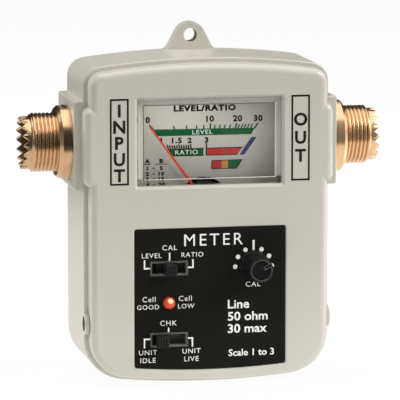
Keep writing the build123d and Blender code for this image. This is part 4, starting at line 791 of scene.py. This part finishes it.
def buildBarrel(side, sign, look):
    count = look["sides"]
    length = look["threadEnd"] - look["threadStart"]
    steps = int(length / look["pitch"] * look["samples"])
    threadXs = [look["threadStart"] + length * i / steps for i in range(steps + 1)]
    rings = []
    for j in range(count):
        angle = 2 * math.pi * j / count
        phase = (angle * look["teeth"] / (2 * math.pi)) % 1.0
        notch = max(0.0, 1 - abs(phase - 0.5) * 2 / look["notchShare"]) * look["toothDepth"]
        end = look["tip"] - notch
        edge = look["rimRound"]
        profile = [(look["flangeBack"], look["bore"]), (look["flangeBack"], look["flange"]),
                   (look["flangeFront"], look["flange"]), (look["flangeFront"], look["major"])]
        profile += [(x, threadRadius(x, sign * angle, look)) for x in threadXs]
        profile += [(look["threadEnd"] + look["noseStep"], look["nose"]), (end - edge, look["nose"]),
                    (end, look["nose"] - edge), (end, look["bore"] + edge), (end - edge, look["bore"])]
        across, up = math.cos(angle), math.sin(angle)
        rings.append([
            (sign * x * mm, (look["axisY"] - r * across) * mm, (look["axisZ"] + r * up) * mm)
            for x, r in profile])
    size = len(rings[0])
    verts = [v for ring in rings for v in ring]
    faces = []
    for j in range(count):
        following = (j + 1) % count
        for i in range(size):
            nextUp = (i + 1) % size
            faces.append((j * size + i, j * size + nextUp, following * size + nextUp, following * size + i))
    mesh = bpy.data.meshes.new(side + "_threaded_barrel")
    mesh.from_pydata(verts, [], faces)
    shape = bmesh.new()
    shape.from_mesh(mesh)
    bmesh.ops.recalc_face_normals(shape, faces=shape.faces)
    shape.to_mesh(mesh)
    shape.free()
    mesh.shade_smooth()
    mesh.set_sharp_from_angle(angle=math.radians(look["sharpAngle"]))
    mesh.materials.append(finish["goldPlate"])
    mesh.materials.append(finish["goldShade"])
    # The bore wears a darker copy of the plating: painted shade
    for face in mesh.polygons:
        places = [mesh.vertices[i].co / mm for i in face.vertices]
        widest = max(math.hypot(place.y - look["axisY"], place.z - look["axisZ"]) for place in places)
        face.material_index = 1 if widest < look["bore"] + look["rimRound"] / 2 else 0
    piece = addPiece(side + "_threaded_barrel", mesh, "case")
    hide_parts(side + "_port_shell")


for side, sign in (("left", -1), ("right", 1)):
    buildBarrel(side, sign, barrel)
print("threaded barrels done")

# Floor, light and camera: lamps are (name, place, size, watts)
studio = {
    "floorGap": 0.00011, "floorSize": 8.0, "floorColor": (0.88, 0.875, 0.86, 1.0), "floorGlow": 0.93,
    "bounceNear": 1.3, "bounceFar": 0.12, "bounceReach": (0.10, 0.36),
    "ambient": (0.80, 0.80, 0.79, 1.0), "ambientStrength": 0.45,
    "lamps": [("key", (0.98, -0.57, 0.75), (1.0, 0.7), 15.6), ("strip", (-0.2, 0.05, 0.9), (1.0, 0.2), 4.4),
              ("rim", (-0.70, 0.58, 0.22), (0.5, 0.3), 5.6), ("fill", (-0.65, -0.7, 0.9), (0.8, 0.6), 1.7)],
    "aim": (0.0, -0.02, 0.0),
}


def flatPlane(name, corners, material):
    mesh = bpy.data.meshes.new(name)
    mesh.from_pydata(corners, [], [(0, 1, 2, 3)])
    mesh.materials.append(material)
    plane = bpy.data.objects.new(name, mesh)
    bpy.context.scene.collection.objects.link(plane)
    return plane


def seenDirectly(tree):
    path = addNode(tree, "ShaderNodeLightPath")
    seen = mathNode(tree, "MAXIMUM", path.outputs["Is Camera Ray"], path.outputs["Is Glossy Ray"])
    return mathNode(tree, "MAXIMUM", seen, path.outputs["Is Transmission Ray"])


def floorMaterial(look):
    material, tree, shader = startMaterial(
        "paleFloor", Base_Color=look["floorColor"], Roughness=0.9, Specular_IOR_Level=0.0)
    glow = addNode(tree, "ShaderNodeEmission")
    blend = addNode(tree, "ShaderNodeMixShader")
    direct = seenDirectly(tree)
    plain = mathNode(tree, "MULTIPLY", direct, 1 - look["floorGlow"])
    tree.links.new(mathNode(tree, "SUBTRACT", 1.0, plain), blend.inputs[0])
    # The table is bright near the object and dim far off, as the bounce light sees it
    away = addNode(tree, "ShaderNodeVectorMath", operation="LENGTH")
    tree.links.new(objectCoords(tree), away.inputs[0])
    falloff = addNode(tree, "ShaderNodeMapRange", interpolation_type="SMOOTHSTEP")
    tree.links.new(away.outputs["Value"], falloff.inputs["Value"])
    limits = (*look["bounceReach"], look["bounceNear"], look["bounceFar"])
    for socket, value in zip(falloff.inputs[1:5], limits):
        socket.default_value = value
    rest = mathNode(tree, "MULTIPLY", falloff.outputs["Result"], mathNode(tree, "SUBTRACT", 1.0, direct))
    tree.links.new(mathNode(tree, "ADD", rest, direct), glow.inputs["Strength"])
    tree.links.new(shader.outputs[0], blend.inputs[1])
    tree.links.new(glow.outputs[0], blend.inputs[2])
    tree.links.new(blend.outputs[0], tree.nodes["Material Output"].inputs["Surface"])
    return material


half = studio["floorSize"] / 2
floorCorners = [(-half, -half, 0), (half, -half, 0), (half, half, 0), (-half, half, 0)]
floor = flatPlane("floor", floorCorners, floorMaterial(studio))
floor.location.z = cadLow.z - studio["floorGap"]

world = bpy.data.worlds.new("studioWorld")
world.use_nodes = True
bpy.context.scene.world = world
worldTree = world.node_tree
ambient = worldTree.nodes["Background"]
ambient.inputs["Color"].default_value = studio["ambient"]
ambient.inputs["Strength"].default_value = studio["ambientStrength"]
backdrop = addNode(worldTree, "ShaderNodeBackground")
setIn(backdrop, Color=(1.0, 1.0, 1.0, 1.0), Strength=1.0)
worldMix = addNode(worldTree, "ShaderNodeMixShader")
worldTree.links.new(seenDirectly(worldTree), worldMix.inputs[0])
worldTree.links.new(ambient.outputs[0], worldMix.inputs[1])
worldTree.links.new(backdrop.outputs[0], worldMix.inputs[2])
worldTree.links.new(worldMix.outputs[0], worldTree.nodes["World Output"].inputs["Surface"])

aim = Vector(studio["aim"])
for name, place, size, power in studio["lamps"]:
    lamp = bpy.data.lights.new(name + "Softbox", "AREA")
    lamp.shape = "RECTANGLE"
    lamp.size, lamp.size_y = size
    lamp.energy = power
    holder = bpy.data.objects.new(name + "Softbox", lamp)
    holder.location = place
    holder.rotation_euler = (aim - Vector(place)).to_track_quat("-Z", "Y").to_euler()
    holder.visible_glossy = name == "key"
    bpy.context.scene.collection.objects.link(holder)

# A narrow spot lights the top of the dial, which the deep window frame would shade
dialSpot = {"place": (-0.12, -1.0, 0.16), "aim": (-0.008, -0.025, 0.042), "reach": 0.022, "power": 24.0,
            "softness": 0.006}
spot = bpy.data.lights.new("dialSpot", "SPOT")
spot.energy = dialSpot["power"]
spot.shadow_soft_size = dialSpot["softness"]
spot.spot_blend = 1.0
throw = Vector(dialSpot["aim"]) - Vector(dialSpot["place"])
spot.spot_size = 2 * math.atan(dialSpot["reach"] / throw.length)
holder = bpy.data.objects.new("dialSpot", spot)
holder.location = dialSpot["place"]
holder.rotation_euler = throw.to_track_quat("-Z", "Y").to_euler()
holder.visible_glossy = False
bpy.context.scene.collection.objects.link(holder)
litPieces = bpy.data.collections.new("dialPieces")
for piece in dialPieces:
    litPieces.objects.link(piece)
holder.light_linking.receiver_collection = litPieces

# Cards seen only in reflections: a dark room in front and behind, a bright ceiling and a pale table
cards = {
    "frontCard": {"corners": ((-0.5, -0.16, -0.0435), (0.03, -0.16, -0.0435),
                              (0.20, -1.0, 1.38), (-0.5, -1.0, 1.38)),
                  "glow": (0.010, 0.010, 0.010, 1.0)},
    "sideCard": {"corners": ((0.03, -0.16, -0.0435), (0.5, -0.16, -0.0435),
                             (0.5, -1.0, 1.38), (0.20, -1.0, 1.38)),
                 "glow": (0.20, 0.20, 0.20, 1.0)},
    "topCard": {"corners": ((-0.9, -1.0, 1.39), (0.9, -1.0, 1.39), (0.9, 1.0, 1.51), (-0.9, 1.0, 1.51)),
                "glow": (1.5, 1.5, 1.48, 1.0)},
    "rightCard": {"corners": ((0.7, -0.30, -0.043), (0.7, 0.40, -0.043),
                              (0.7, 0.40, 0.45), (0.7, -0.30, 0.45)),
                  "glow": (1.4, 1.4, 1.37, 1.0)},
    "backCard": {"corners": ((-0.7, 0.30, -0.0435), (0.7, 0.30, -0.0435), (0.7, 1.0, 1.5), (-0.7, 1.0, 1.5)),
                 "glow": (0.02, 0.02, 0.02, 1.0)},
    "leftCard": {"corners": ((-0.5, -0.16, -0.0435), (-0.5, 0.30, -0.0435),
                             (-0.9, 0.30, 0.6), (-0.9, -0.16, 0.6)),
                 "glow": (0.05, 0.05, 0.05, 1.0)},
}
# The table is three strips: (left, right, glow)
tableStrips = {
    "tableCard": (-0.6, 0.0, (0.74, 0.72, 0.69, 1.0)),
    "middleTableCard": (0.0, 0.14, (1.05, 1.02, 0.98, 1.0)),
    "rightTableCard": (0.14, 0.7, (2.0, 2.0, 1.95, 1.0)),
}
tableFront, tableBack, tableZ = -0.16, 0.30, -0.0437
for name, (left, right, glow) in tableStrips.items():
    corners = ((left, tableFront, tableZ), (right, tableFront, tableZ),
               (right, tableBack, tableZ), (left, tableBack, tableZ))
    cards[name] = {"corners": corners, "glow": glow}
for name, look in cards.items():
    cardMaterial = startMaterial(
        name, Base_Color=(0.0, 0.0, 0.0, 1.0), Specular_IOR_Level=0.0, Roughness=1.0,
        Emission_Color=look["glow"], Emission_Strength=1.0)[0]
    card = flatPlane(name, look["corners"], cardMaterial)
    card.visible_camera = False
    card.visible_diffuse = False
    card.visible_shadow = False

photoCamera = {
    "place": (-0.19719, -0.99575, 0.15171), "aim": (-0.001733, -0.026, 0.005509),
    "lens": 334.47, "sensor": 36.0, "nearest": 0.05, "farthest": 50.0,
}
cameraData = bpy.data.cameras.new("photoCamera")
cameraData.sensor_width = photoCamera["sensor"]
cameraData.lens = photoCamera["lens"]
cameraData.clip_start = photoCamera["nearest"]
cameraData.clip_end = photoCamera["farthest"]
camera = bpy.data.objects.new("photoCamera", cameraData)
camera.location = photoCamera["place"]
sight = Vector(photoCamera["aim"]) - Vector(photoCamera["place"])
camera.rotation_euler = sight.to_track_quat("-Z", "Y").to_euler()
bpy.context.scene.collection.objects.link(camera)
bpy.context.scene.camera = camera
bpy.context.scene.view_settings.view_transform = "Standard"
print("studio ready")

bpy.context.view_layer.update()
